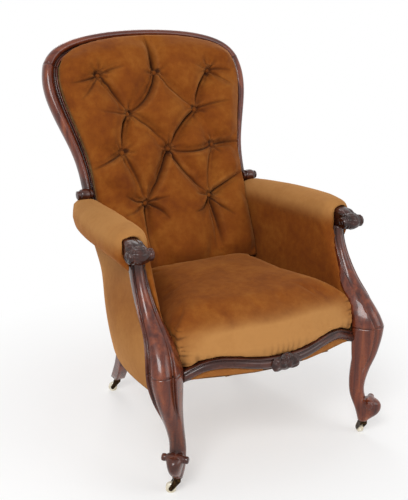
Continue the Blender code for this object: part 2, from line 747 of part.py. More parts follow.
def add_front_leg(name, side, places):
    """Cabriole leg, moulded at the knee, on a scrolled toe with an ear at each side."""
    diagonal = math.pi / 4
    outward = Vector((side * math.cos(diagonal), math.sin(diagonal), 0))
    front_way = Vector((side * math.sin(diagonal), -math.cos(diagonal), 0))
    rings = []
    for share in steps(0, 1, LEG_STATIONS):
        inward, forward, size, moulding = row_at(LEG_ROW_SHARES, share)
        centre = Vector((side * (FRONT_SPREAD - inward * LEG_SWEEP),
                         FRONT_LINE - forward * LEG_SWEEP, mix(FOOT_HEIGHT, KNEE_HEIGHT, share)))
        outline = blend(ROUND_HALF_SHARES, MOULDED_HALF_SHARES, moulding)
        half = size * KNEE_HALF
        rings.append(ring(centre, outward, front_way, half, half, whole_outline(outline)))
    foot = places[f"front_{name}"]
    toe = foot + front_way * TOE_ROLL_REACH + UP * TOE_ROLL_HEIGHT
    profile = scaled(SCROLL_PROFILE_SHARES, TOE_ROLL_LENGTH / 2, TOE_ROLL_RADIUS)
    roll = turned(profile, toe, outward, UP, SCROLL_SIDES)
    sole = []
    for rise, reach, width, depth in TOE_ROW_SHARES:
        centre = foot + front_way * (reach * TOE_REACH) + UP * (FOOT_HEIGHT + rise * TOE_HEIGHT)
        sole.append(ring(centre, outward, front_way, width * TOE_HALF_WIDTH, depth * TOE_HALF_DEPTH,
                         whole_outline(ROUND_HALF_SHARES)))
    add_piece(f"front_leg_{name}", [loft(rings), roll, loft(sole)], MAHOGANY, bores=[stem_bore(foot)])


def add_arm_post(name, side):
    """S-shaped moulded post from the knee up to the arm's scroll."""
    rings = []
    for share in steps(0, 1, POST_STATIONS):
        setback, inset, half_width, half_depth, turn = row_at(POST_ROW_SHARES, share)
        angle = turn * math.pi / 2
        outward = Vector((side * math.cos(angle), math.sin(angle), 0))
        front_way = Vector((side * math.sin(angle), -math.cos(angle), 0))
        centre = Vector((side * (FRONT_SPREAD - inset * POST_INSET), FRONT_LINE + setback * POST_SETBACK,
                         mix(KNEE_HEIGHT + GAP, POST_TOP, share)))
        rings.append(ring(centre, outward, front_way, half_width * KNEE_HALF, half_depth * KNEE_HALF,
                          whole_outline(MOULDED_HALF_SHARES)))
    add_piece(f"arm_post_{name}", [loft(rings)], MAHOGANY)


def stile_scroll(side):
    """Carved scroll on the outer face of a rear post, where the arm meets it."""
    post = rear_post_at(STILE_SCROLL_HEIGHT)[0]
    centre = Vector((side * (post.x + STILE_SCROLL_OUT), post.y - STILE_SCROLL_FORWARD, STILE_SCROLL_HEIGHT))
    profile = scaled(SCROLL_PROFILE_SHARES, STILE_SCROLL_LENGTH / 2, STILE_SCROLL_RADIUS)
    return turned(profile, centre, ACROSS * side, UP, SCROLL_SIDES)


def add_rear_post(name, side, places):
    """Rear leg and side of the back in one piece, square below and moulded above the arms."""
    foot = places[f"rear_{name}"]
    sections = frame_rings()[:SHOULDER_STATION + 1]
    low, way = sections[0]
    high, end_way = sections[-1]
    rings = [moved(low, -way * REAR_FOOT_HALF)] + [points for points, tangent in sections[1:-1]]
    rings.append(moved(high, -end_way * (GAP / 2)))
    post = loft([mirrored(points, side) for points in rings])
    reach = Vector((REAR_RAKE, REAR_RAKE, FOOT_HEIGHT))
    add_piece(f"rear_post_{name}", [post, stile_scroll(side)], MAHOGANY,
              bores=[stem_bore(foot), box(foot - reach, foot + reach)])


def add_crest():
    """Top of the back's frame between the shoulders of the posts."""
    sections = frame_rings()[SHOULDER_STATION:]
    start, way = sections[0]
    half = [moved(start, way * (GAP / 2))] + [points for points, tangent in sections[1:]]
    other_half = [mirrored(points, -1) for points in reversed(half[:-1])]
    add_piece("crest_rail", [loft(half + other_half)], MAHOGANY)


def add_arm_scroll(name, side):
    """Carved end of an arm: a neck over the post and a roll with ears in front."""
    x, y = front_post_centre(POST_TOP)
    roll_centre = Vector((side * (x + ARM_SCROLL_OUT), y - ARM_SCROLL_FORWARD, ARM_TOP - ARM_SCROLL_DROP))
    profile = scaled(SCROLL_PROFILE_SHARES, ARM_SCROLL_LENGTH / 2, ARM_SCROLL_RADIUS)
    roll = turned(profile, roll_centre, ACROSS * side, UP, SCROLL_SIDES)
    bottom = POST_TOP + GAP
    rings = []
    for share, width_share, rise_share in ARM_NECK_SHARES:
        half_height = rise_share * ARM_NECK_RISE / 2
        centre = Vector((side * (x + ARM_SCROLL_OUT), mix(roll_centre.y, y + ARM_NECK_BACK, share),
                         bottom + half_height))
        rings.append(ring(centre, ACROSS, UP, width_share * ARM_NECK_HALF_WIDTH, half_height,
                          ARM_NECK_OUTLINE_SHARES))
    add_piece(f"arm_scroll_{name}", [loft(rings), roll], DARK_MAHOGANY)


def arm_row(share):
    """Middle, half width and top of an arm's roll, from front to rear."""
    spread, width, drop = row_at(ARM_ROW_SHARES, share)
    return spread * ARM_SPREAD, width * ARM_HALF_WIDTH, ARM_TOP - drop * ARM_DEPTH


def arm_line(share, height):
    """Front-to-rear place of an arm's section at a height, between the two posts."""
    return mix(front_post_centre(height)[1], rear_post_at(height)[0].y, share)


def panel_out(y, height):
    """Outer face of an outside arm at a place along it and a height."""
    front_x, front_y = front_post_centre(height)
    rear, rear_half = rear_post_at(height)
    share = (y - front_y) / (rear.y + rear_half - front_y)
    share = min(max(share, 0), 1)
    start = front_x + front_post_half(height) * PANEL_LAP_SHARE
    end = rear.x + rear_half + GAP + PANEL_THICKNESS
    arch = math.sin(math.pi * share)
    bulge = row_at(PANEL_ROW_SHARES, (height - PANEL_BOTTOM) / (ARM_TOP - PANEL_BOTTOM))[0]
    return mix(start, end, share) + arch * bulge * PANEL_BULGE


def panel_heights(share):
    """Heights of an outside arm's rows, up to just under the roll."""
    return steps(PANEL_BOTTOM, arm_row(share)[2] - ARM_DEPTH - SOFT_GAP, PANEL_ROWS)


def add_arm_rail(name, side):
    """Hidden rail of an arm, from its scroll to the rear post."""
    y_front = front_post_centre(POST_TOP)[1] + ARM_NECK_BACK + GAP
    y_rear = rear_post_at(ARM_RAIL_HEIGHT)[0].y
    rings = []
    for share in (0, 1):
        y = mix(y_front, y_rear, share)
        x = mix(arm_row(0)[0], rear_post_at(ARM_RAIL_HEIGHT)[0].x, share)
        centre = Vector((side * x, y, ARM_RAIL_HEIGHT))
        rings.append(ring(centre, ACROSS, UP, ARM_RAIL_HALF, ARM_RAIL_HALF, BOX_SHARES))
    add_piece(f"arm_rail_{name}", [loft(rings)], BEECH, beside=[f"rear_post_{name}"])


def arm_section(side, share, inset, forward):
    """Outline of an arm's stuffing: inside face, roll on top, and outer face."""
    middle, half, top = arm_row(share)
    half -= inset
    top -= inset
    places = []
    floor = RAIL_TOP + GAP
    inner = middle - half
    for height in (floor, mix(floor, top, 1 / 3)):
        places.append((inner, height))
    for out, drop in ARM_ROLL_SHARES:
        places.append((middle + out * half, top - drop * ARM_DEPTH))
    rows = [height for height in panel_heights(share)[:-1] if height > floor]
    for height in reversed([floor, *rows, top - ARM_DEPTH]):
        y = arm_line(share, height) - forward
        places.append((panel_out(y, height) - PANEL_THICKNESS - PADDING_GAP - inset, height))
    return [Vector((side * x, arm_line(share, height) - forward, height)) for x, height in places]


def add_arm_cushion(name, side):
    """Stuffed and covered inside arm with its roll over the arm rail."""
    sections = [arm_section(side, 0, ARM_END_ROUND, ARM_END_ROUND / 2)]
    for share in ARM_STATION_SHARES:
        sections.append(arm_section(side, share, 0, 0))
    add_piece(f"arm_cushion_{name}", [loft(sections)], VELVET,
              beside=[f"arm_post_{name}", f"front_leg_{name}", f"arm_scroll_{name}", f"arm_rail_{name}",
                      f"rear_post_{name}"])


def add_outside_arm(name, side):
    """Covered panel from the roll of an arm down over the side rail."""
    rings = []
    for share in steps(0, 1, PANEL_STATIONS):
        outer, inner = [], []
        for height in panel_heights(share):
            rear, rear_half = rear_post_at(height)
            y = mix(front_post_centre(height)[1], rear.y + rear_half, share)
            x = panel_out(y, height)
            outer.append(Vector((side * x, y, height)))
            inner.append(Vector((side * (x - PANEL_THICKNESS), y, height)))
        rings.append(outer + list(reversed(inner)))
    add_piece(f"outside_arm_{name}", [loft(rings)], VELVET,
              beside=[f"arm_post_{name}", f"front_leg_{name}", f"rear_post_{name}"])


def add_side_rail(name, side):
    """Hidden rail under an arm, from the front leg to the rear post."""
    rings = []
    for share in steps(0, 1, SIDE_RAIL_STATIONS):
        points = []
        for height, depth in ((RAIL_BOTTOM, 0), (RAIL_TOP, 0), (RAIL_TOP, 1), (RAIL_BOTTOM, 1)):
            rear = rear_post_at(height)[0]
            y = mix(front_post_centre(height)[1], rear.y, share)
            x = panel_out(y, height) - PANEL_THICKNESS - SOFT_GAP - depth * 2 * RAIL_HALF_THICKNESS
            points.append(Vector((side * x, y, height)))
        rings.append(points)
    add_piece(f"side_rail_{name}", [loft(rings)], BEECH,
              beside=[f"front_leg_{name}", f"arm_post_{name}", f"rear_post_{name}", "front_rail"])


def front_rail_centre(x):
    """Middle of the front rail's moulding at a place across the chair."""
    bow, rise = row_at(RAIL_ROW_SHARES, min(abs(x) / FRONT_SPREAD, 1))
    return Vector((x, FRONT_LINE - bow * FRONT_RAIL_BOW + FRONT_RAIL_HALF_DEPTH,
                   FRONT_RAIL_BASE + rise * FRONT_RAIL_RISE))


def add_front_rail():
    """Serpentine rail between the front legs: a moulded edge on a deeper backing."""
    stations = [front_rail_centre(share * FRONT_SPREAD) for share in steps(-1, 1, RAIL_STATIONS)]
    rings = []
    last = len(stations) - 1
    face = RAIL_BACKING_SHARE * FRONT_RAIL_HALF_DEPTH
    rear = face - 2 * RAIL_HALF_THICKNESS
    for i, centre in enumerate(stations):
        tangent = stations[min(i + 1, last)] - stations[max(i - 1, 0)]
        front_way = tangent.cross(UP).normalized()
        points = ring(centre, front_way, UP, FRONT_RAIL_HALF_DEPTH, FRONT_RAIL_HALF_HEIGHT, RAIL_SHARES)
        floor = Vector((centre.x, centre.y, min(RAIL_BOTTOM, points[0].z - FRONT_RAIL_STRIP)))
        top = Vector((centre.x, centre.y, points[-1].z)) + front_way * rear
        rings.append([floor + front_way * rear, floor + front_way * face] + points + [top])
    add_piece("front_rail", [loft(rings)], MAHOGANY,
              beside=["front_leg_left", "front_leg_right", "arm_post_left", "arm_post_right"])


def carved_lobe(place, size):
    """One rounded leaf of the carving."""
    rings = []
    for angle in steps(-LEAF_ANGLE, LEAF_ANGLE, LEAF_ROWS):
        along = math.sin(angle) * size * CARVING_HALF_DEPTH
        width = math.cos(angle) * size * CARVING_HALF_WIDTH / 2
        height = math.cos(angle) * size * CARVING_HALF_HEIGHT
        points = []
        for i in range(CARVING_SIDES):
            turn = math.tau * i / CARVING_SIDES
            points.append(place - REARWARD * along + ACROSS * (math.cos(turn) * width)
                          + UP * (math.sin(turn) * height))
        rings.append(points)
    return loft(rings)


def add_rail_carving():
    """Carved ornament on the middle of the front rail: a leaf between two curls."""
    centre = front_rail_centre(0) - REARWARD * FRONT_RAIL_HALF_DEPTH
    lobes = []
    for across, up, size in CARVING_LOBE_SHARES:
        place = centre + ACROSS * (across * CARVING_HALF_WIDTH) + UP * (up * CARVING_HALF_HEIGHT)
        lobes.append(carved_lobe(place, size))
    add_piece("rail_carving", lobes, DARK_MAHOGANY, beside=["front_rail"])


def add_rear_rail():
    """Rear rail of the seat and the tacking rail at the foot of the back."""
    post = rear_post_at(RAIL_TOP)[0]
    low = Vector((-post.x, post.y - RAIL_HALF_THICKNESS, RAIL_BOTTOM))
    high = Vector((post.x, post.y + RAIL_HALF_THICKNESS, RAIL_TOP))
    add_piece("rear_rail", [box(low, high)], BEECH, beside=["rear_post_left", "rear_post_right"])
    post, half = rear_post_at(BACK_RAIL_HEIGHT)
    rings = []
    for x in (-post.x, post.x):
        rear_face = post.y + half - OUTSIDE_BACK_THICKNESS - GAP
        centre = Vector((x, rear_face - BACK_RAIL_HALF_DEPTH / math.cos(RECLINE), BACK_RAIL_HEIGHT))
        way = BACK_NORMAL.cross(ACROSS)
        rings.append(ring(centre, BACK_NORMAL, way, BACK_RAIL_HALF_DEPTH, BACK_RAIL_HALF_HEIGHT, BOX_SHARES))
    add_piece("lower_back_rail", [loft(rings)], BEECH, beside=["rear_post_left", "rear_post_right"])


def rail_inner_x(y):
    """Inner face of a side rail at a place along it."""
    low = panel_out(y, RAIL_BOTTOM)
    high = panel_out(y, RAIL_TOP)
    return min(low, high) - PANEL_THICKNESS - SOFT_GAP - 2 * RAIL_HALF_THICKNESS


def add_corner_blocks():
    """Glued blocks across the inner corners of the seat frame."""
    top = RAIL_TOP - SOFT_GAP
    rear_y = rear_post_at(RAIL_TOP)[0].y - RAIL_HALF_THICKNESS - GAP
    front_y = front_rail_centre(FRONT_SPREAD - 2 * KNEE_HALF).y + 2 * RAIL_HALF_THICKNESS
    for name, side in SIDES.items():
        for end, y, way in (("rear", rear_y, -1), ("front", front_y, 1)):
            x = rail_inner_x(y + way * BLOCK_LEG)
            corner = [Vector((side * x, y, 0)), Vector((side * (x - BLOCK_LEG), y, 0)),
                      Vector((side * x, y + way * BLOCK_LEG, 0))]
            block = loft([moved(corner, UP * (top - BLOCK_HEIGHT)), moved(corner, UP * top)])
            add_piece(f"corner_block_{end}_{name}", [block], BEECH,
                      beside=[f"{end}_rail", f"side_rail_{name}", f"front_leg_{name}", f"arm_post_{name}",
                              f"rear_post_{name}"])


def seat_edge(count):
    """Closed outline of the seat in shares of its half sizes."""
    last = len(SEAT_OUTLINE_SHARES) - 1
    half = [point_at(SEAT_OUTLINE_SHARES, t) for t in steps(0, last, count)]
    return half + [(-x, y) for x, y in reversed(half[1:-1])]


def seat_loops(loop_shares, edge, drop=0):
    """Loops of the seat at their spread and height."""
    loops = []
    for spread, rise in loop_shares:
        height = mix(SEAT_EDGE_HEIGHT, SEAT_CROWN_HEIGHT, rise) - drop
        half_width = spread * SEAT_HALF_WIDTH
        half_depth = spread * SEAT_HALF_DEPTH
        loops.append([Vector((x * half_width, SEAT_MIDDLE - y * half_depth, height)) for x, y in edge])
    return loops


def add_seat_cushion():
    """Crowned seat over the springs, hollow underneath and drawn in at its edges."""
    loops = seat_loops(SEAT_LOOP_SHARES, seat_edge(SEAT_POINTS))
    names = ["front_rail", "rail_carving", "back_cushion", "lower_back_rail"]
    for name in SIDES:
        names += [f"front_leg_{name}", f"arm_post_{name}", f"arm_cushion_{name}", f"rear_post_{name}"]
    add_piece("seat_cushion", [loft(loops)], VELVET, beside=names)


def add_spring_hessian():
    """Hessian sheet tied down over the springs, under the stuffing."""
    edge = seat_edge(HESSIAN_POINTS)
    under = [(HESSIAN_SPREAD_SHARE, SEAT_LOOP_SHARES[0][1])]
    top = seat_loops(under, edge, drop=GAP)
    bottom = seat_loops(under, edge, drop=GAP + HESSIAN_THICKNESS)
    add_piece("spring_hessian", [loft(top + bottom)], HESSIAN)


def spring_wire(x, y, low, high):
    """One waisted coil spring, as an unbroken wire."""
    count = SPRING_TURNS * COIL_POINTS
    points = []
    for i in range(count + 1):
        share = i / count
        angle = math.tau * (SPRING_TURNS * share + 1 / 4)
        radius = mix(SPRING_WAIST, SPRING_RADIUS, (2 * share - 1) ** 2)
        points.append(Vector((x + radius * math.cos(angle), y + radius * math.sin(angle),
                              mix(low, high, share))))
    section = [(math.cos(math.tau * i / SPRING_SIDES), math.sin(math.tau * i / SPRING_SIDES))
               for i in range(SPRING_SIDES)]
    rings = []
    for i, centre in enumerate(points):
        tangent = (points[min(i + 1, count)] - points[max(i - 1, 0)]).normalized()
        outward = Vector((centre.x - x, centre.y - y, 0)).normalized()
        outward = (outward - tangent * outward.dot(tangent)).normalized()
        rings.append(ring(centre, outward, tangent.cross(outward), SPRING_WIRE_RADIUS, SPRING_WIRE_RADIUS,
                          section))
    return loft(rings)


def add_springs():
    """Nine springs on the webbing, lashed together at the top with twine."""
    low = RAIL_BOTTOM + SPRING_WIRE_RADIUS
    rise = SEAT_LOOP_SHARES[0][1]
    high = mix(SEAT_EDGE_HEIGHT, SEAT_CROWN_HEIGHT, rise) - 2 * GAP - HESSIAN_THICKNESS - SPRING_WIRE_RADIUS
    reach = SPRING_SPACING + SPRING_RADIUS
    half = Vector((TWINE_HALF, TWINE_HALF, TWINE_HALF))
    springs, twine = [], []
    for column in (-1, 0, 1):
        offset = column * SPRING_SPACING
        for row in (-1, 0, 1):
            springs.append(spring_wire(offset, SEAT_MIDDLE + row * SPRING_SPACING, low, high))
        ends = Vector((offset, SEAT_MIDDLE - reach, high)), Vector((offset, SEAT_MIDDLE + reach, high))
        twine.append(box(ends[0] - half, ends[1] + half))
    ends = Vector((-SPRING_SPACING, SEAT_MIDDLE, high)), Vector((SPRING_SPACING, SEAT_MIDDLE, high))
    twine.append(box(ends[0] - half, ends[1] + half))
    add_piece("seat_springs", twine + springs, SPRING_STEEL)


def add_webbing():
    """Interlaced webbing under the seat, a strip below each row of springs."""
    top = RAIL_BOTTOM - GAP
    rear_y = rear_post_at(RAIL_BOTTOM)[0].y
    strips = []
    for column in (-1, 0, 1):
        x = column * SPRING_SPACING
        y = SEAT_MIDDLE + x
        low = Vector((x - WEB_WIDTH / 2, front_rail_centre(x).y, top - WEB_THICKNESS))
        high = Vector((x + WEB_WIDTH / 2, rear_y, top))
        strips.append(box(low, high))
        reach = rail_inner_x(y) + RAIL_HALF_THICKNESS
        low = Vector((-reach, y - WEB_WIDTH / 2, top - WEB_THICKNESS * 3 / 2))
        high = Vector((reach, y + WEB_WIDTH / 2, top - WEB_THICKNESS / 2))
        strips.append(box(low, high))
    add_piece("seat_webbing", strips, HESSIAN, beside=["front_rail"])


def add_bottoming():
    """Dust cloth that closes the seat from below."""
    top = RAIL_BOTTOM - 2 * GAP - WEB_THICKNESS * 3 / 2
    rear = rear_post_at(RAIL_BOTTOM)[0]
    layers = []
    for height in (top, top - CLOTH_THICKNESS):
        grid = []
        for share in steps(0, 1, 4):
            row = []
            for across in steps(-1, 1, 8):
                front = front_rail_centre(across * FRONT_SPREAD).y
                y = mix(front, rear.y + RAIL_HALF_THICKNESS, share)
                row.append(Vector((across * (rail_inner_x(y) + RAIL_HALF_THICKNESS), y, height)))
            grid.append(row)
        layers.append(grid)
    names = [f"{piece}_{name}" for piece in ("front_leg", "rear_post") for name in SIDES]
    add_piece("bottoming_cloth", [slab(*layers)], TAN_CLOTH, beside=["front_rail", *names])


def resampled(points, shares):
    """Places at shares of the length along a polyline."""
    lengths = [0]
    for a, b in zip(points, points[1:]):
        lengths.append(lengths[-1] + math.hypot(b[0] - a[0], b[1] - a[1]))
    places = []
    for share in shares:
        goal = share * lengths[-1]
        i = 0
        while i < len(points) - 2 and lengths[i + 1] < goal:
            i += 1
        t = (goal - lengths[i]) / (lengths[i + 1] - lengths[i])
        places.append((mix(points[i][0], points[i + 1][0], t), mix(points[i][1], points[i + 1][1], t)))
    return places


def back_grid(column_shares, row_shares, frame_share, inset, drop, foot_half_width):
    """Grid of (across, up) places that fills the frame of the back from seat to crest."""
    side = [(foot_half_width - inset, -drop)]
    side += [inside_outline(t, frame_share, inset) for t in steps(0, CORNER_ROW_SHARE, 24)]
    last = len(BACK_OUTLINE_SHARES) - 1
    crest = [inside_outline(t, frame_share, inset) for t in steps(CORNER_ROW_SHARE, last, 14)]
    edge = resampled(side, row_shares)
    half_top = [(x, height) for x, height in reversed(crest)]
    top = resampled(half_top, column_shares)
    columns = [(-1, share) for share in reversed(column_shares[1:])]
    columns += [(1, share) for share in column_shares]
    grid = []
    for row, row_share in enumerate(row_shares):
        edge_x, edge_height = edge[row]
        corner_x, corner_height = edge[-1]
        points = []
        for way, share in columns:
            top_x, top_height = top[column_shares.index(share)]
            straight_top = (share * corner_x, corner_height)
            x = share * edge_x + row_share * (top_x - straight_top[0])
            height = edge_height + row_share**3 * (top_height - straight_top[1])
            points.append((way * x, height))
        grid.append(points)
    return grid


def distance_to(point, start, end):
    """Distance from a place to a stretch between two others."""
    along = (end[0] - start[0], end[1] - start[1])
    t = ((point[0] - start[0]) * along[0] + (point[1] - start[1]) * along[1]) / (along[0]**2 + along[1]**2)
    t = min(max(t, 0), 1)
    return math.hypot(point[0] - start[0] - along[0] * t, point[1] - start[1] - along[1] * t)


def real_place(shares):
    """Place on the back from shares of its half width and height."""
    return shares[0] * BACK_HALF_WIDTH, shares[1] * BACK_HEIGHT


def button_places():
    """Places of all the buttons, with those at both sides."""
    places = []
    for across, up in BUTTON_SHARES:
        x, height = real_place((across, up))
        places += [(-x, height), (x, height)] if across else [(x, height)]
    return places


def snapped(grid, places):
    """Grid whose nearest point to each place is moved to it."""
    for place in places:
        nearest = min((math.dist(place, point), j, i)
                      for j, row in enumerate(grid) for i, point in enumerate(row))
        grid[nearest[1]][nearest[2]] = place
    return grid


def tuft_height(x, height):
    """How far the stuffed face stands out from the middle plane of the back."""
    place = (abs(x), height)
    folds = [distance_to(place, real_place(a), real_place(b)) for a, b in FOLD_SHARES]
    buttons = [math.dist(place, real_place(button)) for button in BUTTON_SHARES]
    puff = CUSHION_PUFF * (1 - math.exp(-(min(folds) / FOLD_WIDTH) ** 2))
    dimple = BUTTON_SINK * math.exp(-(min(buttons) / BUTTON_DIMPLE) ** 2)
    return CUSHION_FILL + puff - dimple


def fill_rows(mesh, loop, columns):
    """Fill the rim of a grid row by row, as its sides are drawn in at the waist."""
    rows = (len(loop) - 2 * columns) // 2
    right = loop[columns:columns + rows]
    top = loop[columns + rows:2 * columns + rows]
    left = list(reversed(loop[2 * columns + rows:]))
    mesh.faces.new(loop[:columns] + [right[0], left[0]])
    for j in range(rows - 1):
        mesh.faces.new((left[j], right[j], right[j + 1], left[j + 1]))
    mesh.faces.new([left[-1], right[-1]] + top)


def back_cushion_mesh():
    """Buttoned back: a stuffed face over a flat rear, drawn in at its edge."""
    grids = {}
    for name, inset in (("face", CUSHION_EDGE_ROUND), ("bulge", -CUSHION_BULGE), ("rear", SOFT_GAP)):
        grids[name] = back_grid(CUSHION_COLUMN_SHARES, CUSHION_ROW_SHARES, 1, inset, CUSHION_DROP,
                                CUSHION_FOOT_HALF_WIDTH)
    grids["face"] = snapped(grids["face"], button_places())
    mesh = bmesh.new()
    face = []
    rows, columns = len(grids["face"]), len(grids["face"][0])
    for j, row in enumerate(grids["face"]):
        points = []
        for i, (x, height) in enumerate(row):
            on_edge = i in (0, columns - 1) or j in (0, rows - 1)
            out = CUSHION_FILL if on_edge else tuft_height(x, height)
            points.append(mesh.verts.new(on_back(x, height, out)))
        face.append(points)
    for low, high in zip(face, face[1:]):
        for i in range(columns - 1):
            mesh.faces.new((low[i], low[i + 1], high[i + 1], high[i]))
    loops = [rim(face)]
    for name, out in (("bulge", mix(FRAME_HALF_DEPTH, CUSHION_FILL, 1 / 2)),
                      ("rear", mix(CUSHION_BASE, FRAME_HALF_DEPTH, 1 / 2)), ("rear", CUSHION_BASE)):
        loops.append([mesh.verts.new(on_back(x, height, out)) for x, height in rim(grids[name])])
    for outer, inner in zip(loops, loops[1:]):
        for i in range(len(outer)):
            j = (i + 1) % len(outer)
            mesh.faces.new((outer[i], outer[j], inner[j], inner[i]))
    fill_rows(mesh, loops[-1], columns)
    return closed(mesh)


def back_strip(left, right, low, high, out):
    """Flat strip of webbing on the back."""
    corners = ((left, low), (right, low), (right, high), (left, high))
    return loft([[on_back(x, up, level) for x, up in corners] for level in (out, out - WEB_THICKNESS)])


def back_button(x, height):
    """Covered button that holds the folds of the back together."""
    centre = on_back(x, height, tuft_height(x, height) + BUTTON_HALF_THICKNESS / 2)
    profile = scaled(BUTTON_PROFILE_SHARES, BUTTON_HALF_THICKNESS, BUTTON_RADIUS)
    return turned(profile, centre, BACK_NORMAL, ACROSS, BUTTON_SIDES)


def add_back_upholstery():
    """Buttons, buttoned cushion, hessian and webbing of the back."""
    frame = ["lower_back_rail"]
    for name in SIDES:
        frame += [f"rear_post_{name}", f"arm_cushion_{name}"]
    buttons = []
    for i, (x, height) in enumerate(button_places()):
        buttons.append(f"back_button_{i + 1}")
        add_piece(buttons[-1], [back_button(x, height)], VELVET)
    add_piece("back_cushion", [back_cushion_mesh()], VELVET, beside=frame + buttons)
    inset = 2 * HESSIAN_THICKNESS
    grid = back_grid([0, 1 / 2, 1], steps(0, 1, 9), 1, inset, 0, inside_outline(0, 1)[0])
    face = CUSHION_BASE - GAP
    layers = [[[on_back(x, height, out) for x, height in row] for row in grid]
              for out in (face, face - HESSIAN_THICKNESS)]
    add_piece("back_hessian", [slab(*layers)], HESSIAN)
    top = face - HESSIAN_THICKNESS - GAP
    strips = []
    for t in BACK_WEB_ROW_SHARES:
        reach, height = inside_outline(t, 1, WEB_WIDTH / 10)
        strips.append(back_strip(-reach, reach, height - WEB_WIDTH / 2, height + WEB_WIDTH / 2, top))
    foot, crown = inside_outline(0, 1)[1], inside_outline(len(BACK_OUTLINE_SHARES) - 1, 1, WEB_WIDTH / 2)[1]
    for x in (-WEB_WIDTH, WEB_WIDTH):
        strips.append(back_strip(x - WEB_WIDTH / 2, x + WEB_WIDTH / 2, foot, crown, top - WEB_THICKNESS / 2))
    add_piece("back_webbing", strips, HESSIAN, beside=["crest_rail", "rear_post_left", "rear_post_right"])


def add_outside_back():
    """Covered rear face of the back, from the crest down to the rear rail, between the posts."""
    rows = []
    for height in steps(PANEL_BOTTOM, rear_post_row(REAR_ROW_SHARES[-1][0])[0].z, 4):
        post, half = rear_post_at(height)
        rows.append((post.x - half - SOFT_GAP, Vector((0, post.y + half, height)), REARWARD, 0))
    top = CREST_PANEL_ROW_SHARE
    for t in (share for share in UPPER_STATION_SHARES if share <= top):
        x, height = inside_outline(t, 1, SOFT_GAP)
        lift = inside_outline(len(BACK_OUTLINE_SHARES) - 1, 1, SOFT_GAP)[1] - height if t == top else 0
        rows.append((x, on_back(0, height, -outline_at(t)[3]), -BACK_NORMAL, lift))
    slope_way = Vector((0, math.sin(RECLINE), math.cos(RECLINE)))
    rings = []
    for i, (reach, middle, rear_way, lift) in enumerate(rows):
        puff = OUTSIDE_BACK_PUFF * math.sin(math.pi * i / (len(rows) - 1))
        outer, inner = [], []
        for across in steps(-1, 1, 4):
            arch = 1 - across**2
            point = middle + ACROSS * (across * reach) + slope_way * (lift * arch)
            outer.append(point + rear_way * (puff * arch))
            inner.append(point + rear_way * (puff * arch - OUTSIDE_BACK_THICKNESS))
        rings.append(outer + list(reversed(inner)))
    add_piece("outside_back", [loft(rings)], VELVET, beside=["rear_rail", "lower_back_rail"])


def horn_mesh():
    """Castor horn about its swivel axis: a bored top and two cheeks for the axle."""
    outline = [(-HORN_HALF_LENGTH, HORN_TOP), (HORN_HALF_LENGTH, HORN_TOP)]
    for angle in steps(*BOSS_ANGLES, BOSS_POINTS):
        outline.append((CASTOR_TRAIL + AXLE_BOSS_RADIUS * math.cos(angle),
                        AXLE_HEIGHT + AXLE_BOSS_RADIUS * math.sin(angle)))
    outline.append((-HORN_HALF_LENGTH, HORN_UNDERSIDE))
    inside = WHEEL_WIDTH / 2 + CHEEK_CLEARANCE
    outside = inside + CHEEK_THICKNESS
    horn = loft([[Vector((x, y, z)) for x, z in outline] for y in (-outside, outside)])
    far = CASTOR_TRAIL + 2 * AXLE_BOSS_RADIUS
    slot = box(Vector((-far, -inside, 0)), Vector((far, inside, HORN_UNDERSIDE)))
    pivot = turned([(0, PIVOT_RADIUS + RUNNING_GAP), (PLATE_TOP, PIVOT_RADIUS + RUNNING_GAP)], Vector(),
                   UP, ACROSS, PIN_SIDES)
    axle = turned([(-WHEEL_WIDTH, AXLE_RADIUS + GAP), (WHEEL_WIDTH, AXLE_RADIUS + GAP)],
                  Vector((CASTOR_TRAIL, 0, AXLE_HEIGHT)), REARWARD, UP, AXLE_SIDES)
    return shaped(horn, cuts=[slot, pivot, axle])


def wheel_mesh():
    """Glazed wheel about its axle, with a flat facet under it."""
    rim_profile = scaled(WHEEL_PROFILE_SHARES, WHEEL_WIDTH / 2, WHEEL_RADIUS)
    wheel = turned(rim_profile, Vector(), REARWARD, UP, WHEEL_SIDES)
    bore = turned([(-WHEEL_WIDTH, AXLE_RADIUS + RUNNING_GAP), (WHEEL_WIDTH, AXLE_RADIUS + RUNNING_GAP)],
                  Vector(), REARWARD, UP, PIN_SIDES)
    return shaped(wheel, cuts=[bore])


def plate_mesh():
    """Castor plate with its stem above and its riveted pivot below."""
    head_top = HORN_UNDERSIDE - GAP
    head_bottom = head_top - PIVOT_HEAD_THICKNESS
    plate_bottom = HORN_TOP + GAP
    profile = [(head_bottom, PIVOT_RADIUS), (head_top, PIVOT_HEAD_RADIUS), (head_top, PIVOT_RADIUS),
               (plate_bottom, PIVOT_RADIUS),
               (plate_bottom, PLATE_RADIUS), (PLATE_TOP, PLATE_RADIUS), (PLATE_TOP, STEM_RADIUS),
               (FOOT_HEIGHT + STEM_LENGTH, STEM_RADIUS)]
    return turned(profile, Vector(), UP, ACROSS, PIN_SIDES)


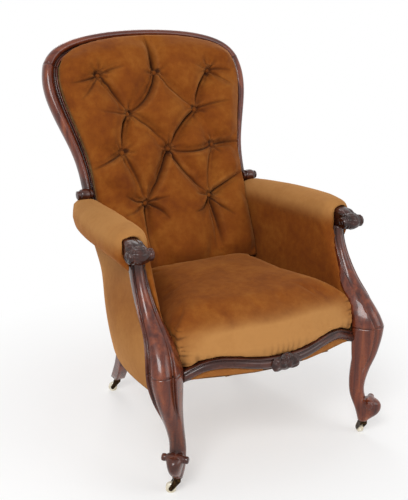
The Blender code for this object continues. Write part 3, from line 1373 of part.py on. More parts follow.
def add_castors(places):
    """Four castors: a fixed plate, a swivelling horn, its axle and its wheel."""
    half_axle = WHEEL_WIDTH / 2 + CHEEK_CLEARANCE + CHEEK_THICKNESS
    axle = turned([(-half_axle, AXLE_RADIUS), (half_axle, AXLE_RADIUS)], Vector(), REARWARD, UP, AXLE_SIDES)
    for name, place in places.items():
        trail = OTHER_TRAIL_ANGLE if name == "front_right" else TRAIL_ANGLE
        plate = dress(f"castor_plate_{name}", plate_mesh(), DARK_BRASS)
        plate.location = place
        plate.rotation_euler.z = trail
        horn = dress(f"castor_horn_{name}", horn_mesh(), DARK_BRASS)
        horn.location = place
        horn.rotation_euler.z = trail
        for kind, mesh, finish in (("axle", axle, DARK_BRASS), ("wheel", wheel_mesh(), CERAMIC)):
            item = dress(f"castor_{kind}_{name}", mesh, finish)
            item.parent = horn
            item.location = Vector((CASTOR_TRAIL, 0, AXLE_HEIGHT))


def centre_on_origin():
    """Move the whole chair so that its footprint is centred on the origin."""
    bpy.context.view_layer.update()
    corners = [item.matrix_world @ Vector(corner) for item in bpy.data.objects for corner in item.bound_box]
    middle = (min(point.y for point in corners) + max(point.y for point in corners)) / 2
    stand = bpy.data.objects.new("stand", None)
    bpy.context.collection.objects.link(stand)
    for item in bpy.data.objects:
        if item.parent is None and item is not stand:
            item.parent = stand
    stand.location.y = -middle
    print("shift of the chair along Y:", -middle)


def build():
    """Make the whole chair."""
    clear_scene()
    places = castor_places()
    for name, side in SIDES.items():
        add_front_leg(name, side, places)
        add_arm_post(name, side)
        add_rear_post(name, side, places)
        add_arm_scroll(name, side)
        add_arm_rail(name, side)
        add_arm_cushion(name, side)
        add_outside_arm(name, side)
    add_crest()
    add_front_rail()
    for name, side in SIDES.items():
        add_side_rail(name, side)
    add_rail_carving()
    add_rear_rail()
    add_corner_blocks()
    add_webbing()
    add_bottoming()
    add_back_upholstery()
    add_outside_back()
    add_springs()
    add_spring_hessian()
    add_seat_cushion()
    add_castors(places)
    centre_on_origin()


build()
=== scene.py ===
"""A spoon-back open armchair, dressed: polished frame, buttoned velvet, sprung seat and castors."""
import math
import bmesh
import bpy
import numpy
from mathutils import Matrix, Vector
from mathutils.bvhtree import BVHTree


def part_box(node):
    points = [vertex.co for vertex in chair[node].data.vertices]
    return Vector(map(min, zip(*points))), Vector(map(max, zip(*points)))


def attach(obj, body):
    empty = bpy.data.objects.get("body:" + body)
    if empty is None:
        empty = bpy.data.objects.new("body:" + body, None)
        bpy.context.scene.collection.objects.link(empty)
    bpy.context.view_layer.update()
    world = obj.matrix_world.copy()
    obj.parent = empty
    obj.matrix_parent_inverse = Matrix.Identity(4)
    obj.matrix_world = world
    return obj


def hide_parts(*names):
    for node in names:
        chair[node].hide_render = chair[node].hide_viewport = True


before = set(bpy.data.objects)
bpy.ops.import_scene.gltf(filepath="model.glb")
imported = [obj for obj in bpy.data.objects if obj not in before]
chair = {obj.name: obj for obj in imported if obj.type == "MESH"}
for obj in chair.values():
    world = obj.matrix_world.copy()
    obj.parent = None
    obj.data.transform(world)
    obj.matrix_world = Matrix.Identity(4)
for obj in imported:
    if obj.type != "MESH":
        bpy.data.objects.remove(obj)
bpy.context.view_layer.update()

# Show wood of the frame
# Crest, stiles, legs, arm posts and seat rail are mahogany, cut from the plank, moulded by hand
# with a running bead and French polished: a thin hard coat over deep red, finely pored wood.


def linear(code):
    """An sRGB hex colour as the linear colour that a shader takes."""
    parts = [int(code[i:i + 2], 16) / 255 for i in (1, 3, 5)]
    return [p / 12.92 if p <= 0.04045 else ((p + 0.055) / 1.055) ** 2.4 for p in parts] + [1]


def add(tree, kind, links, **settings):
    """Adds one node with its settings, and gives its inputs their values or what feeds them."""
    node = tree.nodes.new(kind)
    for name, value in settings.items():
        setattr(node, name, value)
    for name, value in links.items():
        if isinstance(value, bpy.types.NodeSocket):
            tree.links.new(value, node.inputs[name])
        else:
            node.inputs[name].default_value = value
    return node


def shades(tree, amount, steps):
    """A run of colours, each with its place from 0 to 1, looked up by an amount."""
    ramp = add(tree, "ShaderNodeValToRGB", {"Fac": amount})
    while len(ramp.color_ramp.elements) < len(steps):
        ramp.color_ramp.elements.new(0.5)
    for element, (place, code) in zip(ramp.color_ramp.elements, steps):
        element.position = place
        element.color = linear(code)
    return ramp.outputs["Color"]


def finish_of(name, values):
    """A new material, its tree, its shader with plain values, and the place that its patterns follow."""
    finish = bpy.data.materials.new(name)
    finish.use_nodes = True
    tree = finish.node_tree
    shader = tree.nodes["Principled BSDF"]
    for kind, value in values.items():
        shader.inputs[kind].default_value = value
    place = add(tree, "ShaderNodeTexCoord", {}).outputs["Object"]
    return finish, tree, shader, place


def mahogany(name, grain, steps, polish, coat):
    """French-polished mahogany, grained along one axis: red-brown bands, dark pores, a clear coat, and
    painted shade in its hollows and wherever a piece is marked.
    """
    wood, tree, shader, place = finish_of(name, {"IOR": 1.5, "Specular IOR Level": 0.3,
                                                 "Coat Weight": coat, "Coat Roughness": 0.06})
    # bands of figure 16 mm wide and 350 mm long, and pores 1.5 mm wide and 20 mm long
    band_scale = [2.8 if axis == grain else 60 for axis in range(3)]
    pore_scale = [50 if axis == grain else 650 for axis in range(3)]
    band_place = add(tree, "ShaderNodeMapping", {"Vector": place, "Scale": band_scale}).outputs["Vector"]
    band = add(tree, "ShaderNodeTexNoise",
               {"Vector": band_place, "Scale": 1, "Detail": 4, "Roughness": 0.55, "Distortion": 0.3})
    pore_place = add(tree, "ShaderNodeMapping", {"Vector": place, "Scale": pore_scale}).outputs["Vector"]
    pore = add(tree, "ShaderNodeTexNoise", {"Vector": pore_place, "Scale": 1, "Detail": 3, "Roughness": 0.7})
    figure = shades(tree, band.outputs["Fac"], steps)
    pored = add(tree, "ShaderNodeMapRange",
                {"Value": pore.outputs["Fac"], "From Min": 0.56, "From Max": 0.72, "To Max": 0.55})
    grained = add(tree, "ShaderNodeMix", {0: pored.outputs["Result"], 6: figure, 7: linear("#1F0B07")},
                  data_type="RGBA")
    # painted shade: the quirks and hollows that ambient occlusion finds are darkened almost to black, and
    # the polish is rubbed unevenly, duller in patches
    hollow = add(tree, "ShaderNodeAmbientOcclusion", {"Distance": 0.012}, samples=8, only_local=True)
    hollow_shade = add(tree, "ShaderNodeMapRange",
                {"Value": hollow.outputs["AO"], "From Min": 0.45, "From Max": 0.95, "To Min": 0.8,
                 "To Max": 0})
    toned = add(tree, "ShaderNodeMix",
                {0: hollow_shade.outputs["Result"], 6: grained.outputs[2], 7: linear("#170806")}, data_type="RGBA")
    # stain and painted shade: where a piece is marked it goes darker still, towards near black
    stain_and_shade = add(tree, "ShaderNodeAttribute", {}, attribute_name="stain_and_shade")
    stain_shaded = add(tree, "ShaderNodeMix",
                  {0: stain_and_shade.outputs["Fac"], 6: toned.outputs[2], 7: linear("#1D0B07")}, data_type="RGBA")
    tree.links.new(stain_shaded.outputs[2], shader.inputs["Base Color"])
    rubbed = add(tree, "ShaderNodeTexNoise", {"Vector": place, "Scale": 40, "Detail": 3})
    rough = add(tree, "ShaderNodeMapRange",
                {"Value": rubbed.outputs["Fac"], "From Min": 0.3, "From Max": 0.7, "To Min": polish,
                 "To Max": polish + 0.16})
    tree.links.new(rough.outputs["Result"], shader.inputs["Roughness"])
    bump = add(tree, "ShaderNodeBump", {"Height": pore.outputs["Fac"], "Strength": 0.12, "Distance": 0.0003})
    tree.links.new(bump.outputs["Normal"], shader.inputs["Normal"])
    return wood


def put(name, mesh, material):
    """A mesh as a piece of the chair, in its material."""
    mesh.materials.clear()
    mesh.materials.append(material)
    piece = bpy.data.objects.new(name, mesh)
    bpy.context.scene.collection.objects.link(piece)
    return piece


def settled(piece):
    """The piece as its modifiers leave it, with none of them on it."""
    graph = bpy.context.evaluated_depsgraph_get()
    mesh = bpy.data.meshes.new_from_object(piece.evaluated_get(graph), depsgraph=graph)
    piece.modifiers.clear()
    piece.data = mesh
    return piece


def joined(node):
    """The faces of a CAD piece, each joined to the next along its edges."""
    shape = bmesh.new()
    shape.from_mesh(chair[node].data)
    bmesh.ops.remove_doubles(shape, verts=shape.verts, dist=0.00002)
    return shape


def skin_of(shape, name, material):
    """A shape that is built face by face, as a smoothly shaded piece."""
    mesh = bpy.data.meshes.new(name)
    shape.to_mesh(mesh)
    shape.free()
    mesh.shade_smooth()
    return put(name, mesh, material)


def finer(piece, levels):
    """Rounds a piece by dividing each of its faces."""
    skin = piece.modifiers.new("Rounding", "SUBSURF")
    skin.levels = skin.render_levels = levels
    settled(piece)


def places_of(piece):
    """The vertices of a piece as rows of x, y and z."""
    rows = numpy.empty(len(piece.data.vertices) * 3)
    piece.data.vertices.foreach_get("co", rows)
    return rows.reshape(-1, 3)


def normals_of(piece):
    """The directions that the vertices of a piece face."""
    rows = numpy.empty(len(piece.data.vertices) * 3)
    piece.data.vertices.foreach_get("normal", rows)
    return rows.reshape(-1, 3)


def move_to(piece, rows):
    """Puts the vertices of a piece at new places."""
    piece.data.vertices.foreach_set("co", rows.ravel())
    piece.data.update()


def rounded(node, arris, hardness, levels):
    """The skin of a member, joined up and rounded everywhere but along its arrises."""
    shape = joined(node)
    bmesh.ops.join_triangles(shape, faces=shape.faces, angle_face_threshold=math.radians(35),
                             angle_shape_threshold=math.radians(50))
    crease = shape.edges.layers.float.new("crease_edge")
    for edge in shape.edges:
        if len(edge.link_faces) == 2 and edge.calc_face_angle() > arris:
            # a sawn end stays flat, so that it closes up with the next member
            edge[crease] = 1 if edge.calc_face_angle() > sawn_end else hardness
    piece = skin_of(shape, f"{node}_polished", chair[node].data.materials[0])
    finer(piece, levels)
    piece.data.set_sharp_from_angle(angle=math.radians(62))
    return piece


def stage_of(values, low, high):
    """How far values have gone from low to high, from 0 to 1, eased at both ends."""
    t = numpy.clip((values - low) / (high - low), 0, 1)
    return t * t * (3 - 2 * t)


def mark(piece, name, values):
    """Keeps a share for each point of a piece, for its material to read."""
    kept = piece.data.attributes.new(name, "FLOAT", "POINT")
    kept.data.foreach_set("value", values.astype(numpy.float32))


sawn_end = 1.25
stile_scroll_height = 0.605
stile_scroll_spread = 0.262
red_steps = [(0.25, "#32110B"), (0.45, "#572313"), (0.62, "#75371E"), (0.8, "#96522D")]
upright = mahogany("mahogany upright grain", 2, red_steps, 0.20, 0.35)
crosswise = mahogany("mahogany crosswise grain", 0, red_steps, 0.20, 0.35)
# the moulding under the seat is given the darkest steps, nearly black
dark_steps = [(0.25, "#1B0A07"), (0.5, "#3A180F"), (0.75, "#62311F")]
rail_wood = mahogany("mahogany crosswise darkened", 0, dark_steps, 0.20, 0.3)
show_wood = {"crest_rail": crosswise, "front_rail": rail_wood}
for side in ("left", "right"):
    for member in ("rear_post", "front_leg", "arm_post"):
        show_wood[f"{member}_{side}"] = upright
for node, wood in show_wood.items():
    member = rounded(node, math.radians(48), 0.75, 2)
    member.data.materials[0] = wood
    rows = places_of(member)
    # stain and painted shade darken the wood round the scroll above each arm and below the carved
    # ends of the arms, and painted shade darkens the left leg's shin, which gets less light
    across, height = numpy.abs(rows[:, 0]), rows[:, 2]
    if node.startswith("rear_post"):
        off_scroll = numpy.hypot(height - stile_scroll_height, across - stile_scroll_spread)
        mark(member, "stain_and_shade", stage_of(-off_scroll, -0.050, -0.030) * 0.62)
    elif node.startswith("arm_post"):
        mark(member, "stain_and_shade", stage_of(height, 0.455, 0.525) * 0.6)
    elif node == "front_leg_left":
        mark(member, "stain_and_shade", (1 - stage_of(height, 0.10, 0.25)) * stage_of(height, 0.06, 0.09) * 0.5)
    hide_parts(node)
    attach(member, "chair")

# Carving
# The arm scrolls and the ornament of the seat rail are carved from darker mahogany, never rubbed
# back as far as the mouldings; their near-black colour is partly painted shade standing in for deep cuts.
arm_scroll_length = 0.066
arm_scroll_line = -0.2345
arm_scroll_height = 0.556
carved_steps = [(0.3, "#1C0A06"), (0.55, "#36150C"), (0.8, "#592817")]
carved = mahogany("mahogany carved and stained", 1, carved_steps, 0.22, 0.25)
for node in ("arm_scroll_left", "arm_scroll_right", "rail_carving"):
    ornament = rounded(node, math.radians(60), 0.35, 3)
    ornament.data.materials[0] = carved
    low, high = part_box(node)
    middle = (low + high) / 2
    rows = places_of(ornament)
    facing = normals_of(ornament)
    if node == "rail_carving":
        # two leaves that curl away from the middle, each with five veined lobes
        up, across = rows[:, 2] - high.z + 0.004, numpy.abs(rows[:, 0]) - 0.010
        turn = numpy.arctan2(up, across)
        reach = numpy.hypot(up, across)
        cut = 0.0016 * numpy.cos(turn * 9 + reach * 60) + 0.0007 * numpy.cos(reach * math.tau / 0.011)
        cut = cut * numpy.clip(-facing[:, 1], 0, 1)
    else:
        # three lobes of leaf laid over the roll, and a volute cut in each of its ends
        place = (rows[:, 0] - middle.x) / arm_scroll_length
        up, back_by = rows[:, 2] - arm_scroll_height, rows[:, 1] - arm_scroll_line
        turn = numpy.arctan2(up, back_by)
        reach = numpy.hypot(up, back_by)
        lobes = numpy.abs(numpy.sin((place * (1 + 0.35 * numpy.cos(turn)) + 0.5) * math.pi * 3)) ** 0.6 - 0.6
        veins = 0.4 * numpy.cos(turn * 11 + numpy.abs(place) * 14)
        volute = numpy.cos(math.tau * reach / 0.0085 - turn * numpy.sign(rows[:, 0]))
        ends = stage_of(numpy.abs(facing[:, 0]), 0.55, 0.85)
        front = stage_of(-rows[:, 1], 0.200, 0.212)
        cut = ((lobes * 0.0026 + veins * 0.0010) * (1 - ends) + volute * 0.0011 * ends) * front
    move_to(ornament, rows + facing * cut[:, None])
    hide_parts(node)
    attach(ornament, "chair")

# Hidden frame
# Under the cloth the chair is pale beech, sawn and planed but never finished, which shows
# a fine even grain with small darker flecks.
beech, tree, shader, place = finish_of("beech sawn", {"Roughness": 0.62})
# flecks 8 mm long and 1.7 mm wide, and bands of growth about 17 mm wide
ray_place = add(tree, "ShaderNodeMapping", {"Vector": place, "Scale": (120, 120, 600)}).outputs["Vector"]
fleck = add(tree, "ShaderNodeTexNoise", {"Vector": ray_place, "Scale": 1, "Detail": 4})
growth = add(tree, "ShaderNodeTexNoise", {"Vector": place, "Scale": 60, "Detail": 4, "Distortion": 1.5})
sawn = add(tree, "ShaderNodeMix",
           {0: 0.5, 6: shades(tree, fleck.outputs["Fac"], [(0.35, "#A87A4C"), (0.7, "#D2AC7C")]),
            7: shades(tree, growth.outputs["Fac"], [(0.3, "#B98B5A"), (0.7, "#D9B585")])}, data_type="RGBA")
tree.links.new(sawn.outputs[2], shader.inputs["Base Color"])
rough_saw = add(tree, "ShaderNodeBump",
                {"Height": fleck.outputs["Fac"], "Strength": 0.35, "Distance": 0.0006})
tree.links.new(rough_saw.outputs["Normal"], shader.inputs["Normal"])
for node in chair:
    if node.startswith(("side_rail", "rear_rail", "lower_back_rail", "corner_block", "arm_rail")):
        chair[node].material_slots[0].material = beech

# Springs, webbing and hessian
# Nine coppered steel springs stand on jute webbing, lashed together with twine, and are
# covered with hessian; the back has a web of its own behind its stuffing.


def woven(name, steps, thread, bump, roughness):
    """Plain-woven cloth with its threads a set way apart, in painted light and shade: lighter where one
    comes over, dark in the gaps.
    """
    cloth, tree, shader, place = finish_of(name, {"Roughness": roughness})
    wobble = add(tree, "ShaderNodeTexNoise", {"Vector": place, "Scale": 150, "Detail": 2})
    pull = add(tree, "ShaderNodeVectorMath", {0: wobble.outputs["Color"], 1: (0.002, 0.002, 0.002)},
               operation="MULTIPLY")
    pulled = add(tree, "ShaderNodeVectorMath", {0: place, 1: pull.outputs["Vector"]}, operation="ADD")
    waves = []
    for axis in ("X", "Y"):
        wave = add(tree, "ShaderNodeTexWave", {"Vector": pulled.outputs["Vector"], "Scale": 0.31 / thread},
                   wave_type="BANDS", bands_direction=axis, wave_profile="SIN")
        waves.append(wave.outputs["Fac"])
    over = add(tree, "ShaderNodeMath", {0: waves[0], 1: waves[1]}, operation="MAXIMUM")
    slub = add(tree, "ShaderNodeTexNoise", {"Vector": place, "Scale": 90, "Detail": 4})
    lit = add(tree, "ShaderNodeMath", {0: over.outputs["Value"], 1: slub.outputs["Fac"]},
              operation="MULTIPLY")
    tree.links.new(shades(tree, lit.outputs["Value"], steps), shader.inputs["Base Color"])
    relief = add(tree, "ShaderNodeBump",
                 {"Height": over.outputs["Value"], "Strength": bump, "Distance": thread / 2})
    tree.links.new(relief.outputs["Normal"], shader.inputs["Normal"])
    return cloth


hessian = woven("hessian", [(0.15, "#4E3B20"), (0.45, "#8F7143"), (0.7, "#B39260")], 0.0012, 0.7, 0.9)
jute = woven("jute webbing", [(0.15, "#5C4526"), (0.45, "#9A7A4B"), (0.7, "#BFA06C")], 0.0016, 0.7, 0.85)
# webbing has a dark thread near each selvedge, which keeps its edges straight
tree = jute.node_tree
base = tree.nodes["Principled BSDF"].inputs["Base Color"]
across = add(tree, "ShaderNodeAttribute", {}, attribute_name="across")
stripe = add(tree, "ShaderNodeMath", {0: across.outputs["Fac"], 1: 0.72, 2: 0.09}, operation="COMPARE")
striped = add(tree, "ShaderNodeMix",
              {0: stripe.outputs["Value"], 6: base.links[0].from_socket, 7: linear("#5E2A1C")},
              data_type="RGBA")
tree.links.new(striped.outputs[2], base)


def thickened(sheet, thickness, offset):
    """Gives a sheet its thickness, on both sides of it or all on one."""
    body = sheet.modifiers.new("Thickness", "SOLIDIFY")
    body.thickness = thickness
    body.offset = offset
    settled(sheet)


def interlaced(node, strips, face, thickness):
    """Strips of webbing 50 mm wide, each passing over and under those that it meets."""
    shape = bmesh.new()
    tint = shape.verts.layers.float.new("across")
    for start, end, crossings in strips:
        start, end = Vector(start), Vector(end)
        side = face.cross((end - start).normalized())
        length = (end - start).length
        places = [0, *(place for place, level in crossings), length]
        levels = [crossings[0][1], *(level for place, level in crossings), crossings[-1][1]]
        columns = []
        for step in range(web_steps + 1):
            along = length * step / web_steps
            level = numpy.interp(along, places, levels)
            lift = thickness * 0.6 * math.sin(level * math.pi / 2)
            middle = start.lerp(end, step / web_steps) + face * lift
            columns.append([])
            for share in (-1, -0.85, -0.6, 0, 0.6, 0.85, 1):
                columns[-1].append(shape.verts.new(middle + side * web_half_width * share))
                columns[-1][-1][tint] = abs(share)
        for here, there in zip(columns, columns[1:]):
            for i in range(6):
                shape.faces.new((here[i], there[i], there[i + 1], here[i + 1]))
    web = skin_of(shape, f"{node}_interlaced", jute)
    thickened(web, thickness, 0)
    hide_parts(node)
    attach(web, "chair")


web_steps = 60
web_half_width = 0.025
web_thickness = 0.0012
# the seat's webbing runs to the rails, which are further apart in the middle and at the front
web_level = 0.27035
web_fronts = (-0.3614, -0.3779, -0.3614)
web_rear = 0.1163
web_reaches = (0.3054, 0.2998, 0.2668)
spring_rows = (-0.2554, -0.1304, -0.0054)
spring_columns = (-0.125, 0, 0.125)
strips = []
for i, (x, front) in enumerate(zip(spring_columns, web_fronts)):
    strips.append(((x, front, web_level), (x, web_rear, web_level),
                   [(y - front, 1 if (i + j) % 2 else -1) for j, y in enumerate(spring_rows)]))
for j, (y, reach) in enumerate(zip(spring_rows, web_reaches)):
    strips.append(((-reach, y, web_level), (reach, y, web_level),
                   [(x + reach, -1 if (i + j) % 2 else 1) for i, x in enumerate(spring_columns)]))
interlaced("seat_webbing", strips, Vector((0, 0, 1)), web_thickness)
# the back's webbing lies in the plane of its frame, which leans with the stiles
lean = math.radians(21.7)
back_up = Vector((0, math.sin(lean), math.cos(lean)))
back_out = Vector((0, -math.cos(lean), math.sin(lean)))
# its plane passes through this place, a little above the arms
plane_line = 0.262 - 0.044428
plane_height = 0.6
web_foot = Vector((0, plane_line, plane_height)) + back_out * 0.00085
web_spread = 0.05
web_low = 0.029
web_high = 0.404
cross_webs = ((0.083, 0.2251), (0.212, 0.2528), (0.306, 0.27))
strips = []
for j, (up, reach) in enumerate(cross_webs):
    middle, aside = web_foot + back_up * up, Vector((reach, 0, 0))
    strips.append((middle - aside, middle + aside,
                   [(reach - web_spread, -1 if j % 2 else 1), (reach + web_spread, 1 if j % 2 else -1)]))
for i, x in enumerate((-web_spread, web_spread)):
    aside = Vector((x, 0, 0))
    strips.append((web_foot + back_up * web_low + aside, web_foot + back_up * web_high + aside,
                   [(up - web_low, 1 if (i + j) % 2 else -1) for j, (up, reach) in enumerate(cross_webs)]))
interlaced("back_webbing", strips, back_out, web_thickness)


def tarnished(name, scale, detail, steps, dull, bright):
    """Bare metal that has gone dark and dull in spots, with the noise of its spots."""
    metal, tree, shader, place = finish_of(name, {"Metallic": 1})
    spots = add(tree, "ShaderNodeTexNoise", {"Vector": place, "Scale": scale, **detail})
    tree.links.new(shades(tree, spots.outputs["Fac"], steps), shader.inputs["Base Color"])
    rough = add(tree, "ShaderNodeMapRange",
                {"Value": spots.outputs["Fac"], "To Min": dull, "To Max": bright})
    tree.links.new(rough.outputs["Result"], shader.inputs["Roughness"])
    return metal, tree, shader, spots.outputs["Fac"]


copper_steps = [(0.3, "#5B4030"), (0.6, "#A06A48")]
coppered = tarnished("coppered spring steel", 120, {"Detail": 4}, copper_steps, 0.6, 0.25)[0]
# the springs are waisted coils of three turns, on a grid 125 mm apart
coiling = bpy.data.node_groups.new("waisted coil springs", "GeometryNodeTree")
coiling.interface.new_socket("Springs", in_out="OUTPUT", socket_type="NodeSocketGeometry")
for name, size in (("Mouth Radius", 0.033), ("Waist Radius", 0.022), ("Wire Radius", 0.0018),
                   ("Height", 0.0844), ("Spacing", 0.125)):
    coiling.interface.new_socket(name, in_out="INPUT", socket_type="NodeSocketFloat").default_value = size
sizes = coiling.nodes.new("NodeGroupInput").outputs
coil = add(coiling, "GeometryNodeCurveSpiral",
           {"Resolution": 24, "Rotations": 3, "Start Radius": 1, "End Radius": 1, "Height": sizes["Height"]})
along = add(coiling, "GeometryNodeSplineParameter", {})
from_waist = add(coiling, "ShaderNodeMath", {0: along.outputs["Factor"], 1: 2, 2: -1},
                 operation="MULTIPLY_ADD")
squared = add(coiling, "ShaderNodeMath", {0: from_waist.outputs["Value"], 1: 2}, operation="POWER")
radius = add(coiling, "ShaderNodeMapRange",
             {"Value": squared.outputs["Value"], "To Min": sizes["Waist Radius"],
              "To Max": sizes["Mouth Radius"]}).outputs["Result"]
waisted = add(coiling, "ShaderNodeCombineXYZ", {"X": radius, "Y": radius, "Z": 1})
point = add(coiling, "GeometryNodeInputPosition", {}).outputs["Position"]
spot = add(coiling, "ShaderNodeVectorMath", {0: point, 1: waisted.outputs["Vector"]}, operation="MULTIPLY")
drawn_in = add(coiling, "GeometryNodeSetPosition",
               {"Geometry": coil.outputs["Curve"], "Position": spot.outputs["Vector"]})
round_wire = add(coiling, "GeometryNodeCurvePrimitiveCircle",
                 {"Resolution": 8, "Radius": sizes["Wire Radius"]})
wire = add(coiling, "GeometryNodeCurveToMesh",
           {"Curve": drawn_in.outputs["Geometry"], "Profile Curve": round_wire.outputs["Curve"],
            "Fill Caps": True})
apart = add(coiling, "ShaderNodeMath", {0: sizes["Spacing"], 1: 2}, operation="MULTIPLY").outputs["Value"]
grid = add(coiling, "GeometryNodeMeshGrid",
           {"Size X": apart, "Size Y": apart, "Vertices X": 3, "Vertices Y": 3})
stood = add(coiling, "GeometryNodeInstanceOnPoints",
            {"Points": grid.outputs["Mesh"], "Instance": wire.outputs["Mesh"],
             "Rotation": (0, 0, math.pi / 2)})
moved = add(coiling, "GeometryNodeTransform",
            {"Geometry": stood.outputs["Instances"], "Translation": (0, spring_rows[1], 0.2738)})
real = add(coiling, "GeometryNodeRealizeInstances", {"Geometry": moved.outputs["Geometry"]})
finished = add(coiling, "GeometryNodeSetMaterial",
               {"Geometry": real.outputs["Geometry"], "Material": coppered})
add(coiling, "NodeGroupOutput", {"Springs": finished.outputs["Geometry"]})
springs = put("seat_springs_coiled", bpy.data.meshes.new("coils"), coppered)
springs.modifiers.new("Coils", "NODES").node_group = coiling
settled(springs)
springs.data.shade_smooth()
# twine ties the top coils to each other, front to back and side to side
laid = bpy.data.curves.new("laid twine", "CURVE")
laid.dimensions = "3D"
laid.bevel_depth = 0.0012
laid.bevel_resolution = 2
lashed_at = 0.3575
# where two lengths cross, one rides this much over the middle and the other this much under
over = 0.0009
# it is knotted at the near, middle and far side of each coil, and half way between two coils
knots_back = (-0.2884, -0.2554, -0.2224, -0.193, -0.1634, -0.1304, -0.0974, -0.068, -0.0384, -0.0054,
              0.0276)
knots_across = (-0.152, -0.125, -0.092, -0.0625, -0.033, 0, 0.033, 0.0625, 0.092, 0.125, 0.152)
lines = [[(x, y, lashed_at + over * (-1) ** k) for k, y in enumerate(knots_back)] for x in spring_columns]
lines += [[(x, y, lashed_at - over * (-1) ** k) for k, x in enumerate(knots_across)] for y in spring_rows]
for line in lines:
    spline = laid.splines.new("NURBS")
    spline.points.add(len(line) - 1)
    for point, spot in zip(spline.points, line):
        point.co = (*spot, 1)
    spline.use_endpoint_u = True
    spline.order_u = 3
route = bpy.data.objects.new("twine_route", laid)
bpy.context.scene.collection.objects.link(route)
twine_mesh = bpy.data.meshes.new_from_object(route.evaluated_get(bpy.context.evaluated_depsgraph_get()))
bpy.data.objects.remove(route)
hemp = woven("hemp twine", [(0.15, "#6E5836"), (0.45, "#B49A6C"), (0.7, "#D3BC90")], 0.0010, 0.8, 0.85)
lashing = put("seat_springs_lashing", twine_mesh, hemp)
for piece in (springs, lashing):
    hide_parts("seat_springs")
    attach(piece, "chair")


def cloth_of(node, way, cloth, slack, thickness, spread):
    """The face of a CAD sheet as fine cloth that hangs a little slack inside its tacked edge."""
    shape = joined(node)
    shape.normal_update()
    turned_away = [face for face in shape.faces if face.normal.dot(way) < 0.7]
    bmesh.ops.delete(shape, geom=turned_away, context="FACES")
    bmesh.ops.subdivide_edges(shape, edges=shape.edges, cuts=5, use_grid_fill=True)
    bmesh.ops.triangulate(shape, faces=shape.faces)
    rim = [edge for edge in shape.edges if edge.is_boundary]
    edges = [[vertex.co.copy() for vertex in edge.verts] for edge in rim]
    middles = numpy.array(edges).mean(axis=1)
    for vertex in shape.verts:
        inside = numpy.min(numpy.linalg.norm(middles - numpy.array(vertex.co), axis=1))
        sag = slack * (1 - math.exp(-((inside / 0.05) ** 2)))
        vertex.co += way * (sag - thickness)
    middle = sum((vertex.co for vertex in shape.verts), Vector()) / len(shape.verts)
    for vertex in shape.verts:
        vertex.co = middle + (vertex.co - middle) * spread
    area = sum(face.calc_area() for face in shape.faces)
    sheet = skin_of(shape, f"{node}_stretched", cloth)
    thickened(sheet, thickness, -1)
    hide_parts(node)
    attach(sheet, "chair")
    return sheet, area, edges


sheet_thickness = 0.0005
under_stuffing, area = cloth_of("spring_hessian", Vector((0, 0, 1)), hessian, 0, sheet_thickness, 1)[:2]
# the back's hessian is tacked down over the edge of its frame, 6 mm past the opening
behind_stuffing, area = cloth_of("back_hessian", back_out, hessian, 0, sheet_thickness, 1.025)[:2]

# Velvet
# All the covers are one amber cotton velvet: a short dense pile on a brown ground, painted pale where it is
# worn or catches the light as painted sheen, and painted nearly black as shade down in a fold.
velvet, tree, shader, place = finish_of(
    "cotton velvet", {"Roughness": 0.9, "Specular IOR Level": 0.2, "Sheen Weight": 0.4,
                      "Sheen Roughness": 0.38, "Sheen Tint": linear("#E0A564")})
# hand-sized clouds where the pile lies another way, and finer ones of 20 mm
cloud = add(tree, "ShaderNodeTexNoise", {"Vector": place, "Scale": 11, "Detail": 3, "Distortion": 0.6})
patch = add(tree, "ShaderNodeTexNoise", {"Vector": place, "Scale": 55, "Detail": 4, "Roughness": 0.6})
brushed = add(tree, "ShaderNodeMix", {0: 0.38, 2: cloud.outputs["Fac"], 3: patch.outputs["Fac"]})
nap = shades(tree, brushed.outputs[0], [(0.28, "#6C3208"), (0.5, "#83440C"), (0.74, "#985A1B")])
# the pile itself, drawn at 1.4 mm because its true 0.3 mm would not show
pile = add(tree, "ShaderNodeTexNoise", {"Vector": place, "Scale": 700, "Detail": 2})
speck = add(tree, "ShaderNodeMapRange",
            {"Value": pile.outputs["Fac"], "From Min": 0.35, "From Max": 0.65, "To Max": 0.22})
piled = add(tree, "ShaderNodeMix", {0: speck.outputs["Result"], 6: nap, 7: linear("#532708")},
            data_type="RGBA")
# wear and painted sheen: where backs and hands have rubbed the pile or it is brushed up, and where it faces
# the light, it is painted a pale tan
wear_and_sheen = add(tree, "ShaderNodeAttribute", {}, attribute_name="wear_and_sheen")
thin = add(tree, "ShaderNodeMath", {0: brushed.outputs[0], 1: 0.9, 2: -0.45}, operation="MULTIPLY_ADD")
patchy = add(tree, "ShaderNodeMath", {0: thin.outputs["Value"], 1: wear_and_sheen.outputs["Fac"]}, operation="ADD")
bare = add(tree, "ShaderNodeMath", {0: patchy.outputs["Value"], 1: wear_and_sheen.outputs["Fac"]},
           operation="MULTIPLY", use_clamp=True)
rubbed = add(tree, "ShaderNodeMix", {0: bare.outputs["Value"], 6: piled.outputs[2], 7: linear("#AD7A44")},
             data_type="RGBA")
# painted shade: down in a fold or crease the velvet is darkened nearly to black
fold_shade = add(tree, "ShaderNodeAttribute", {}, attribute_name="fold_shade")
deep = add(tree, "ShaderNodeMath", {0: fold_shade.outputs["Fac"], 1: 0.9}, operation="MULTIPLY")
fold_shaded = add(tree, "ShaderNodeMix", {0: deep.outputs["Value"], 6: rubbed.outputs[2], 7: linear("#2A1004")},
             data_type="RGBA")
tree.links.new(fold_shaded.outputs[2], shader.inputs["Base Color"])
soft_relief = add(tree, "ShaderNodeBump",
                  {"Height": patch.outputs["Fac"], "Strength": 0.25, "Distance": 0.004})
pile_relief = add(tree, "ShaderNodeBump",
                  {"Height": pile.outputs["Fac"], "Strength": 0.3, "Distance": 0.0008,
                   "Normal": soft_relief.outputs["Normal"]})
tree.links.new(pile_relief.outputs["Normal"], shader.inputs["Normal"])

